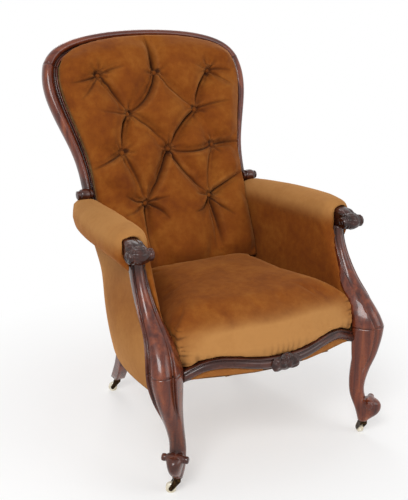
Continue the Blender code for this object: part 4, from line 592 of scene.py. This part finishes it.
# Seat
# The seat is a crowned pad of horsehair over the springs, under one piece of velvet that is
# strained down over the front rail and tacked into the rebate above the moulding.


def covered(node, grid, softness):
    """A stuffed piece's skin, evened out to one size of face and softened."""
    piece = skin_of(joined(node), f"{node}_velvet", velvet)
    even = piece.modifiers.new("Even", "REMESH")
    even.mode = "VOXEL"
    even.voxel_size = grid
    even.use_smooth_shade = True
    soft = piece.modifiers.new("Soft", "SMOOTH")
    soft.factor = 0.5
    soft.iterations = softness
    return settled(piece)


def stuffed(piece, held, most, pressure=4):
    """Blows a cover up against what holds it, no point further than the most, and smooths it once."""
    start = places_of(piece)
    group = piece.vertex_groups.new(name="Held")
    for strength in numpy.unique(held):
        group.add(numpy.flatnonzero(held == strength).tolist(), float(strength), "REPLACE")
    cover = piece.modifiers.new("Cover", "CLOTH")
    cover.settings.quality = 4
    cover.settings.use_pressure = True
    cover.settings.uniform_pressure_force = pressure
    cover.settings.effector_weights.gravity = 0
    cover.settings.vertex_group_mass = "Held"
    cover.point_cache.frame_start = 1
    cover.point_cache.frame_end = 20
    for step in range(1, 21):
        bpy.context.scene.frame_set(step)
    settled(piece)
    bpy.context.scene.frame_set(1)
    moved = places_of(piece) - start
    length = numpy.maximum(numpy.linalg.norm(moved, axis=1), 1e-9)
    reach = numpy.minimum(length, most * (1 - numpy.exp(-length / most)) * 1.3)
    move_to(piece, start + moved * (numpy.minimum(reach, most) / length)[:, None])
    piece.vertex_groups.clear()
    finer(piece, 1)
    piece.data.shade_smooth()


def form_of(node):
    """The faces of a CAD piece, for rays to meet."""
    mesh = chair[node].data
    corners = [vertex.co for vertex in mesh.vertices]
    return BVHTree.FromPolygons(corners, [face.vertices for face in mesh.polygons])


def met(form, place, way):
    """The place where a ray first meets a form."""
    return form.ray_cast(Vector(place), Vector(way))[0]


# the size of a face of each velvet skin, of a gather along the tacked edge, and of a crease
skin_grid = 0.006
gather_width = 0.019
crease_width = 0.0125
# rays that look for the front start from here
before_chair = -0.6
seat = covered("seat_cushion", skin_grid, 6)
rows = places_of(seat)
low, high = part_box("seat_cushion")
stuffed(seat, numpy.round(1 - stage_of(rows[:, 2], low.z + 0.006, low.z + 0.035), 1), 0.009, 6)
rows = places_of(seat)
across, height = numpy.abs(rows[:, 0]), rows[:, 2]
# the tacked edge is drawn up in small uneven gathers, most of them where it turns in to the posts
round_edge = numpy.arctan2(rows[:, 0], -(rows[:, 1] + 0.12)) * 0.27
uneven = 0.25 + 0.35 * numpy.sin(round_edge * 23 + 1.3) + 0.6 * stage_of(across, 0.17, 0.25)
gather = numpy.sin(round_edge / gather_width * math.tau + 2.4 * numpy.sin(round_edge * 41))
gather = gather * numpy.clip(uneven, 0, 1) * numpy.exp(-((height - low.z - 0.010) / 0.012) ** 2)
move_to(seat, rows + normals_of(seat) * (gather * 0.0013)[:, None])
# its front edge comes down on to the moulding, which dips towards the posts and in the middle
rail_form = form_of("front_rail")
seat_form = form_of("seat_cushion")
stations = numpy.linspace(0, 0.234, 14)
faces = [met(seat_form, (x, before_chair, low.z + 0.02), (0, 1, 0)).y for x in stations]
noses = [met(rail_form, (x, before_chair, low.z - 0.015), (0, 1, 0)).y for x in stations]
tops = [met(rail_form, (x, nose + 0.008, 0.4), (0, 0, -1)).z for x, nose in zip(stations, noses)]
face = numpy.interp(across, stations, faces)
moulding = numpy.interp(across, stations, tops) + 0.0005
drop = numpy.maximum(low.z - moulding, 0) * (1 - stage_of(height, low.z, low.z + 0.03))
moved = places_of(seat)
moved[:, 2] -= drop * (1 - stage_of(rows[:, 1] - face, 0.012, 0.028))
# where the cover turns in to each post it's pulled into short creases that point away from the post
crease_depth = stage_of(across, 0.222, 0.252) * stage_of(-rows[:, 1], 0.25, 0.30)
crease_depth = crease_depth * stage_of(height, 0.30, 0.32) * (1 - stage_of(height, 0.37, 0.40))
waver = numpy.sin(height * 130 + rows[:, 0]) * 1.1
pulled = numpy.abs(numpy.sin(height / crease_width * math.pi + across * 22 + waver))
pulled = crease_depth * (1 - pulled) ** 3
moved -= normals_of(seat) * (pulled * 0.0035)[:, None]
move_to(seat, moved)
# the front roll is painted paler, as wear and as painted sheen where the light falls on it, and the rest a
# little
front_roll = stage_of(-rows[:, 1], 0.27, 0.36) * (1 - 0.8 * stage_of(height, low.z + 0.055, low.z + 0.1))
mark(seat, "wear_and_sheen", numpy.clip(front_roll * 0.95 + 0.16, 0, 1))
# painted shade in the hollows of the gathers and down the creases by the posts
mark(seat, "fold_shade", numpy.clip(numpy.clip(-gather, 0, 1) * 0.5 + pulled * 0.9, 0, 1))
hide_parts("seat_cushion")
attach(seat, "chair")

# Front strips
# The velvet goes on below the moulding, and covers the backing of the front rail on each side of
# the carving, from the rail's foot up to the moulding's underside.
carving_end = 0.056
strip_step = 0.0158
below_rail = 0.2
for side, way in (("left", -1), ("right", 1)):
    shape = bmesh.new()
    columns = []
    for number in range(12):
        x = way * (carving_end + strip_step * number)
        nose = met(rail_form, (x, before_chair, low.z - 0.015), (0, 1, 0)).y
        foot = met(rail_form, (x, nose + 0.016, below_rail), (0, 0, 1)).z
        backing = met(rail_form, (x, before_chair, foot + 0.001), (0, 1, 0)).y
        head = met(rail_form, (x, backing - 0.002, below_rail), (0, 0, 1)).z
        foot -= 0.0007
        # it stands off the backing most at half its height
        columns.append([])
        for step in range(6):
            full = 0.0012 + 0.0008 * math.sin(math.pi * step / 5) + 0.0003 * math.sin(number * 2.3)
            spot = (x, backing - full, foot + (head - foot) * step / 5)
            columns[-1].append(shape.verts.new(spot))
    for here, there in zip(columns, columns[1:]):
        for i in range(5):
            corners = (here[i], here[i + 1], there[i + 1], there[i])
            shape.faces.new(corners if way < 0 else corners[::-1])
    shape.normal_update()
    area = sum(face.calc_area() for face in shape.faces)
    strip = skin_of(shape, f"front_strip_{side}", velvet)
    thickened(strip, 0.0009, -1)
    finer(strip, 2)
    # wear and painted sheen, evenly over the strip
    mark(strip, "wear_and_sheen", numpy.full(len(strip.data.vertices), 0.55))
    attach(strip, "chair")

# Arms
# Each arm is a roll stuffed over a beech rail, its velvet drawn round the front end to the
# scroll and strained down flat inside the seat, where it stays firm.
for side in ("left", "right"):
    arm = covered(f"arm_cushion_{side}", skin_grid, 6)
    rows = places_of(arm)
    low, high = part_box(f"arm_cushion_{side}")
    stuffed(arm, numpy.round(1 - stage_of(rows[:, 2], high.z - 0.10, high.z - 0.05), 1), 0.004)
    rows = places_of(arm)
    roll = stage_of(rows[:, 2], high.z - 0.085, high.z - 0.025)
    # the cover is gathered round the roll's front end, in folds 11 mm apart
    front_end = numpy.exp(-((rows[:, 1] - low.y - 0.012) / 0.012) ** 2)
    middle = (low.x + high.x) / 2
    turn = numpy.arctan2(rows[:, 2] - high.z + 0.045, rows[:, 0] - middle)
    gather = numpy.sin(turn * 21) * front_end * roll
    move_to(arm, rows + normals_of(arm) * (gather * 0.0012)[:, None])
    # the roll's top is painted paler, as wear and as painted sheen where the light falls on it
    mark(arm, "wear_and_sheen", numpy.clip(roll * 0.9 + 0.06, 0, 1))
    # painted shade in the hollows of the gathers round the front end
    mark(arm, "fold_shade", numpy.clip(-gather, 0, 1) * 0.55)
    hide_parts(f"arm_cushion_{side}")
    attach(arm, "chair")

# Buttoned back
# Ten covered buttons are pulled deep into a thick stuffing, and the spare velvet between them
# is laid in pleats with a blunt tool, so that diamonds stand proud between sharp folds.
up_back = numpy.array((0, math.sin(lean), math.cos(lean)))
out_back = numpy.array((0, -math.cos(lean), math.sin(lean)))
back_foot = numpy.array((0, plane_line, plane_height))
buttons = []
for number in range(1, 11):
    low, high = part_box(f"back_button_{number}")
    middle = numpy.array((low + high) / 2)
    buttons.append((middle[0], (middle - back_foot) @ up_back))
top, top_left, top_right, high_left, high_right = buttons[:5]
centre, wide_left, wide_right, low_left, low_right = buttons[5:]
# each pleat: where it starts and ends, how far it bows, how deep it is, and the side it is tucked to
pleats = [
    (top, (-0.014, 0.430), -0.006, 0.014, -1),
    (top, high_left, 0.020, 0.013, 1), (top, high_right, -0.006, 0.005, -1),
    (top_right, high_right, -0.009, 0.012, -1), (top_left, high_left, 0.004, 0.008, 1),
    (top_left, (-0.262, 0.300), 0.004, 0.008, 1), (top_left, (-0.245, 0.245), 0.004, 0.006, 1),
    (top_left, (top_left[0] + 0.075, top_left[1] + 0.016), 0.003, 0.006, -1),
    (top_right, (0.255, 0.310), 0.003, 0.006, 1), (top_right, (0.240, 0.262), 0.003, 0.005, 1),
    (top_right, (top_right[0] - 0.055, top_right[1] + 0.014), 0.002, 0.004, 1),
    (high_right, centre, -0.008, 0.014, -1), (high_left, centre, 0.010, 0.006, -1),
    (high_right, (0.225, high_right[1] + 0.012), 0.004, 0.006, 1),
    (high_left, wide_left, -0.008, 0.012, -1), (high_left, (-0.200, high_left[1] + 0.010), 0.003, 0.005, 1),
    (centre, low_left, 0.008, 0.015, 1), (centre, low_right, -0.012, 0.008, 1),
    (wide_right, centre, 0.018, 0.010, 1),
    (wide_right, (0.252, wide_right[1] + 0.002), 0.003, 0.011, 1),
    (wide_right, low_right, -0.010, 0.005, -1),
    (wide_left, (-0.243, wide_left[1] - 0.040), 0.004, 0.010, 1), (wide_left, low_left, 0.008, 0.006, 1),
    (low_left, (low_left[0] - 0.060, low_left[1] + 0.024), 0.002, 0.008, 1),
    (low_left, (low_left[0] + 0.065, low_left[1] + 0.006), 0.002, 0.007, 1),
    (low_left, (low_left[0] - 0.010, -0.215), -0.006, 0.012, -1),
    (low_left, (low_left[0] + 0.055, -0.110), 0.010, 0.009, 1),
    (low_left, (low_left[0] - 0.085, -0.080), 0.008, 0.005, -1),
    (low_right, (0.243, low_right[1] + 0.062), 0.004, 0.012, 1),
    (low_right, (low_right[0] - 0.070, -0.095), 0.014, 0.011, -1),
    (low_right, (low_right[0] + 0.006, -0.205), 0.005, 0.011, 1),
    (low_right, (low_right[0] + 0.062, -0.120), -0.005, 0.008, 1),
    (low_right, (low_right[0] - 0.055, low_right[1] + 0.010), 0.002, 0.006, 1),
]
back = covered("back_cushion", skin_grid, 3)


def to_pleats(rows):
    """How far across and up the back each point is, and how it lies to every pleat."""
    across, up = rows[:, 0], (rows - back_foot) @ up_back
    found = []
    for start, end, bow, depth, tuck in pleats:
        start, end = numpy.array(start), numpy.array(end)
        way = end - start
        side = numpy.array((-way[1], way[0])) / numpy.linalg.norm(way)
        nearest = numpy.full(len(rows), 9.0)
        signed = numpy.zeros(len(rows))
        along = numpy.zeros(len(rows))
        shares = numpy.linspace(0, 1, 9)
        spots = [start + way * t + side * bow * 4 * t * (1 - t) for t in shares]
        for number, (a, b) in enumerate(zip(spots, spots[1:])):
            step = b - a
            t = numpy.clip(((across - a[0]) * step[0] + (up - a[1]) * step[1]) / (step @ step), 0, 1)
            off_x, off_y = across - a[0] - t * step[0], up - a[1] - t * step[1]
            gap = numpy.hypot(off_x, off_y)
            closer = gap < nearest
            nearest = numpy.where(closer, gap, nearest)
            signed = numpy.where(closer, gap * numpy.sign(step[0] * off_y - step[1] * off_x), signed)
            along = numpy.where(closer, (number + t) / 8, along)
        found.append((signed, along, depth, tuck))
    return across, up, found


def to_buttons(across, up):
    """How far each point lies from its nearest button, at what angle, and which button that is."""
    gaps = [numpy.hypot(across - x, up - y) for x, y in buttons]
    nearest = numpy.argmin(gaps, axis=0)
    spots = numpy.array(buttons)[nearest]
    return numpy.min(gaps, axis=0), numpy.arctan2(up - spots[:, 1], across - spots[:, 0]), nearest


rows = places_of(back)
across, up, found = to_pleats(rows)
nearness = numpy.min([numpy.abs(signed) / (depth / 0.011) for signed, along, depth, tuck in found], axis=0)
out = (rows - back_foot) @ out_back
held = numpy.maximum(1 - stage_of(nearness, 0.004, 0.014), 1 - stage_of(out, 0.036, 0.050))
stuffed(back, numpy.round(held, 1), 0.013, 8)

# the skin is made finer along the pleats and round the buttons
near = bmesh.new()
near.from_mesh(back.data)
rows = places_of(back)
across, up, found = to_pleats(rows)
facing = normals_of(back) @ out_back
nearness = numpy.min([numpy.abs(signed) for signed, along, depth, tuck in found], axis=0)
round_button = to_buttons(across, up)[0]
chosen = ((nearness < 0.007) | (round_button < 0.022)) & (facing > 0.2)
along_pleats = [edge for edge in near.edges if all(chosen[vertex.index] for vertex in edge.verts)]
bmesh.ops.subdivide_edges(near, edges=along_pleats, cuts=1, use_grid_fill=True)
near.to_mesh(back.data)
near.free()

rows = places_of(back)
across, up, found = to_pleats(rows)
# its sides press out against the frame, and no light reaches down beside it
sideways = 1 - stage_of(numpy.abs(normals_of(back) @ out_back), 0.5, 0.9)
rows += normals_of(back) * (sideways * 0.0022 * stage_of(up, -0.10, 0.02))[:, None]
beside = sideways * (1 - stage_of((rows - back_foot) @ out_back, 0.018, 0.034)) * stage_of(up, -0.02, 0.03)
facing = stage_of(normals_of(back) @ out_back, 0.1, 0.5)
# widths of the sharp fold, of the dip round it, and of a second fold beside a deep one
groove_width = 0.0030
valley_width = 0.0190
second_width = 0.0022
lift, crease, shadow, proud = (numpy.zeros(len(rows)) for count in range(4))
dips = []
goals = [pleat[1] for pleat in pleats]
for (signed, along, depth, tuck), goal in zip(found, goals):
    # a pleat between two buttons stays open all the way, and any other dies out
    fading = numpy.cos(numpy.clip(along, 0, 1) * math.pi / 2)
    full = 0.35 + 0.65 * fading ** 0.7 if goal in buttons else fading ** 0.8
    groove = numpy.exp(-(signed / groove_width) ** 2)
    valley = numpy.exp(-(signed / valley_width) ** 2)
    lip = numpy.exp(-((signed * tuck - 0.0105) / 0.0065) ** 2)
    under = numpy.exp(-((signed * tuck + 0.0075) / 0.0075) ** 2)
    second = numpy.exp(-((signed * tuck + 0.0105) / second_width) ** 2) * numpy.exp(-along / 0.35)
    dips.append((valley * 0.95 + under * 0.35) * depth * full)
    lift += (-groove * depth * 0.8 + lip * depth * 0.55 - second * depth * 0.35) * full
    crease = numpy.maximum(crease, groove * full * min(depth / 0.008, 1))
    crease = numpy.maximum(crease, second * full * 0.55)
    shadow = numpy.maximum(shadow, under * full * min(depth / 0.012, 1))
    proud = numpy.maximum(proud, lip * full * min(depth / 0.012, 1))
from_button, angle, which = to_buttons(across, up)
off_button = 1 - numpy.exp(-(from_button / 0.016) ** 2)
ray = numpy.cos(angle * 9 + which * 1.7) * 0.6 + numpy.cos(angle * 5 + which * 2.9) * 0.4
lift = lift * (0.35 + 0.65 * off_button) - numpy.max(dips, axis=0) * off_button
lift += ray * 0.0032 * numpy.exp(-((from_button - 0.022) / 0.014) ** 2)
# the spare cloth is pushed in on one side of each button, into a hole that is painted dark as shade
push = which * 2.1 + 0.4
hole_reach = 0.009
hole_width = 0.0080
hole_depth = 0.004
from_hole = numpy.hypot(from_button * numpy.cos(angle) - hole_reach * numpy.cos(push),
                        from_button * numpy.sin(angle) - hole_reach * numpy.sin(push))
hole = numpy.exp(-(from_hole / hole_width) ** 4)
lift -= hole_depth * hole
crease = numpy.maximum(crease, hole)
# painted shade at the middle of each button's pit and in the puckers that fan out from it
crease = numpy.maximum(crease, numpy.exp(-(from_button / 0.0100) ** 4) * 0.7)
fan = numpy.exp(-((from_button - 0.020) / 0.013) ** 2)
crease = numpy.maximum(crease, numpy.clip(-ray, 0, 1) * 0.5 * fan)
move_to(back, rows + out_back * (numpy.clip(lift, -0.024, 0.006) * facing)[:, None])
# painted shade in the creases and holes, under each pleat's tucked side, and down beside the frame
mark(back, "fold_shade", numpy.maximum(numpy.clip(crease + 0.30 * shadow * (1 - crease), 0, 1) * facing, beside))
# wear and painted sheen, a little paler on the pleats' raised lips
mark(back, "wear_and_sheen", 0.08 + 0.30 * proud * facing)
back.data.shade_smooth()
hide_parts("back_cushion")
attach(back, "chair")

# Buttons
# Each button is a metal disc under its own circle of velvet, domed and drawn down so far
# that only its crown shows between the folds.
for number in range(1, 11):
    button = rounded(f"back_button_{number}", math.radians(80), 0, 2)
    button.data.materials[0] = velvet
    # painted shade: each button is darkened, as it sits down in its pit
    mark(button, "fold_shade", numpy.full(len(button.data.vertices), 0.28))
    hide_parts(f"back_button_{number}")
    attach(button, "chair")

# Outside arms and back
# The outsides are velvet over thin wadding, strained from the arm to the rail and slip-stitched
# down their edges, so they are smooth and only a little full.
for node in ("outside_arm_left", "outside_arm_right", "outside_back"):
    panel = rounded(node, math.radians(60), 0.6, 3)
    panel.data.materials[0] = velvet
    if node == "outside_back":
        # its edges are turned in against the frame, so no light shows between the two
        low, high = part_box(node)
        foot = Vector((0, low.y, low.z))
        wider, longer = 1.013, 1.006
        for vertex in panel.data.vertices:
            from_foot = vertex.co - foot
            vertex.co = foot + Vector((from_foot.x * wider, from_foot.y * longer, from_foot.z * longer))
    rows = places_of(panel)
    # wear and painted sheen, paler in bands that rise and fall with height
    mark(panel, "wear_and_sheen", 0.62 + 0.25 * numpy.sin(rows[:, 2] * 9 + rows[:, 1] * 5) ** 2)
    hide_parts(node)
    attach(panel, "chair")

# Bottoming
# A thin tan lining closes the underside. It is turned in and tacked along the rails with
# blued steel tacks about 30 mm apart, and has dropped a little between them.
tan_steps = [(0.15, "#6B4A24"), (0.45, "#A5773F"), (0.7, "#C49A60")]
lining = woven("tan cotton lining", tan_steps, 0.0009, 0.4, 0.85)
bottoming, area, edges = cloth_of("bottoming_cloth", Vector((0, 0, -1)), lining, 0.005, sheet_thickness, 1)
blued, tree, shader, place = finish_of("blued tack steel", {"Metallic": 1, "Roughness": 0.45})
rust = add(tree, "ShaderNodeTexNoise", {"Vector": place, "Scale": 600, "Detail": 3})
rusted = shades(tree, rust.outputs["Fac"], [(0.4, "#22262E"), (0.62, "#5A4030")])
tree.links.new(rusted, shader.inputs["Base Color"])
tacking = bpy.data.node_groups.new("tacks", "GeometryNodeTree")
tacking.interface.new_socket("Tacks", in_out="OUTPUT", socket_type="NodeSocketGeometry")
tacking.interface.new_socket("Places", in_out="INPUT", socket_type="NodeSocketGeometry")
head_size = tacking.interface.new_socket("Head Radius", in_out="INPUT", socket_type="NodeSocketFloat")
head_size.default_value = 0.0036
sizes = tacking.nodes.new("NodeGroupInput").outputs
bead = add(tacking, "GeometryNodeMeshUVSphere", {"Segments": 10, "Rings": 6, "Radius": sizes["Head Radius"]})
head = add(tacking, "GeometryNodeTransform", {"Geometry": bead.outputs["Mesh"], "Scale": (1, 1, 0.35)})
driven = add(tacking, "GeometryNodeInstanceOnPoints",
             {"Points": sizes["Places"], "Instance": head.outputs["Geometry"]})
real = add(tacking, "GeometryNodeRealizeInstances", {"Geometry": driven.outputs["Instances"]})
finished = add(tacking, "GeometryNodeSetMaterial",
               {"Geometry": real.outputs["Geometry"], "Material": blued})
add(tacking, "NodeGroupOutput", {"Tacks": finished.outputs["Geometry"]})
tack_spacing = 0.028
tack_inset = 0.009
seat_middle = -0.13
places = []
for a, b in edges:
    spot = a.lerp(b, 0.5)
    spot += (Vector((0, seat_middle, spot.z)) - spot).normalized() * tack_inset
    if all((spot - other).length > tack_spacing for other in places):
        places.append(spot)
tack_places = bpy.data.meshes.new("tack_places")
tack_places.from_pydata([spot - Vector((0, 0, 0.0004)) for spot in places], [], [])
tacks = put("bottoming_tacks", tack_places, blued)
tacks.modifiers.new("Tacks", "NODES").node_group = tacking
settled(tacks)
tacks.data.shade_smooth()
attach(tacks, "chair")

# Castors
# Cup plates, horns and axles are cast brass gone nearly black, and the wheels are white
# glazed ceramic that has yellowed and crazed a little.
brass_steps = [(0.35, "#18110C"), (0.55, "#38291A"), (0.75, "#735631")]
brass, tree, shader, grime = tarnished("cast brass tarnished", 220, {"Detail": 5, "Roughness": 0.65},
                                       brass_steps, 0.65, 0.28)
cast = add(tree, "ShaderNodeBump", {"Height": grime, "Strength": 0.4, "Distance": 0.0005})
tree.links.new(cast.outputs["Normal"], shader.inputs["Normal"])
ceramic, tree, shader, place = finish_of("glazed ceramic", {"Roughness": 0.22, "Coat Weight": 0.4})
aged = add(tree, "ShaderNodeTexNoise", {"Vector": place, "Scale": 90, "Detail": 4})
craze = add(tree, "ShaderNodeTexVoronoi", {"Vector": place, "Scale": 260}, feature="DISTANCE_TO_EDGE")
crack = add(tree, "ShaderNodeMapRange",
            {"Value": craze.outputs["Distance"], "From Max": 0.05, "To Min": 0.35, "To Max": 0})
yellowed = shades(tree, aged.outputs["Fac"], [(0.3, "#CDBF9F"), (0.6, "#EDE6D2")])
glaze = add(tree, "ShaderNodeMix", {0: crack.outputs["Result"], 6: yellowed, 7: linear("#8A7551")},
            data_type="RGBA")
tree.links.new(glaze.outputs[2], shader.inputs["Base Color"])
for node in chair:
    if node.startswith("castor"):
        chair[node].material_slots[0].material = ceramic if "wheel" in node else brass

# Studio
# A white floor that keeps the chair's shadow, a white surround, a large soft lamp high up in front
# on the left, a weaker one in front on the right, and one behind for the edges.


def to_the_eye(tree):
    """1 for the rays that lead to the camera, straight or by a mirror or glass, and 0 for light."""
    path = add(tree, "ShaderNodeLightPath", {})
    mirrored = add(tree, "ShaderNodeMath",
                   {0: path.outputs["Is Glossy Ray"], 1: path.outputs["Is Transmission Ray"]},
                   operation="MAXIMUM")
    return add(tree, "ShaderNodeMath",
               {0: path.outputs["Is Camera Ray"], 1: mirrored.outputs["Value"]},
               operation="MAXIMUM").outputs["Value"]


floor_mesh = bpy.data.meshes.new("floor")
floor_mesh.from_pydata([(-6, -6, 0), (6, -6, 0), (6, 6, 0), (-6, 6, 0)], [], [(0, 1, 2, 3)])
white, tree, shader, place = finish_of("white paper", {"Base Color": linear("#FAFAFA"), "Roughness": 0.9})
# away from the chair the paper is blown out to white, for the eye and in reflections only
away = add(tree, "ShaderNodeVectorMath", {0: place}, operation="LENGTH")
faded = add(tree, "ShaderNodeMapRange", {"Value": away.outputs["Value"], "From Min": 0.42, "To Min": 0.35})
blown = add(tree, "ShaderNodeMath", {0: faded.outputs["Result"], 1: to_the_eye(tree)},
            operation="MULTIPLY")
glow = add(tree, "ShaderNodeEmission", {"Color": (1, 1, 1, 1), "Strength": 1.0})
mixed = add(tree, "ShaderNodeMixShader",
            {0: blown.outputs["Value"], 1: shader.outputs["BSDF"], 2: glow.outputs["Emission"]})
tree.links.new(mixed.outputs["Shader"], tree.nodes["Material Output"].inputs["Surface"])
floor = put("studio_floor", floor_mesh, white)
world = bpy.data.worlds.new("Surround")
bpy.context.scene.world = world
world.use_nodes = True
tree = world.node_tree
level = add(tree, "ShaderNodeMapRange", {"Value": to_the_eye(tree), "To Min": 0.5})
tree.nodes["Background"].inputs["Color"].default_value = (1, 1, 1, 1)
tree.links.new(level.outputs["Result"], tree.nodes["Background"].inputs["Strength"])
for name, place, size, power in (("key", (-1.9, -2.1, 2.6), 1.3, 62), ("fill", (1.6, -2.4, 1.6), 1.8, 22),
                                 ("rim", (0.6, 2.2, 2.4), 1.6, 24)):
    lamp = bpy.data.lights.new(name, "AREA")
    lamp.size = size
    lamp.energy = power
    lamp_object = bpy.data.objects.new(name, lamp)
    lamp_object.location = place
    ahead = Vector((0, 0, 0.5)) - Vector(place)
    lamp_object.rotation_euler = ahead.to_track_quat("-Z", "Y").to_euler()
    bpy.context.scene.collection.objects.link(lamp_object)
lens = bpy.data.cameras.new("camera")
lens.lens = 60.9
lens.sensor_width = 36
camera = bpy.data.objects.new("camera", lens)
camera.location = (-1.0867, -1.9094, 1.1357)
ahead = Vector((-0.017, -0.0224, 0.47)) - camera.location
camera.rotation_euler = ahead.to_track_quat("-Z", "Y").to_euler()
bpy.context.scene.collection.objects.link(camera)
bpy.context.scene.camera = camera
bpy.context.scene.view_settings.view_transform = "Standard"
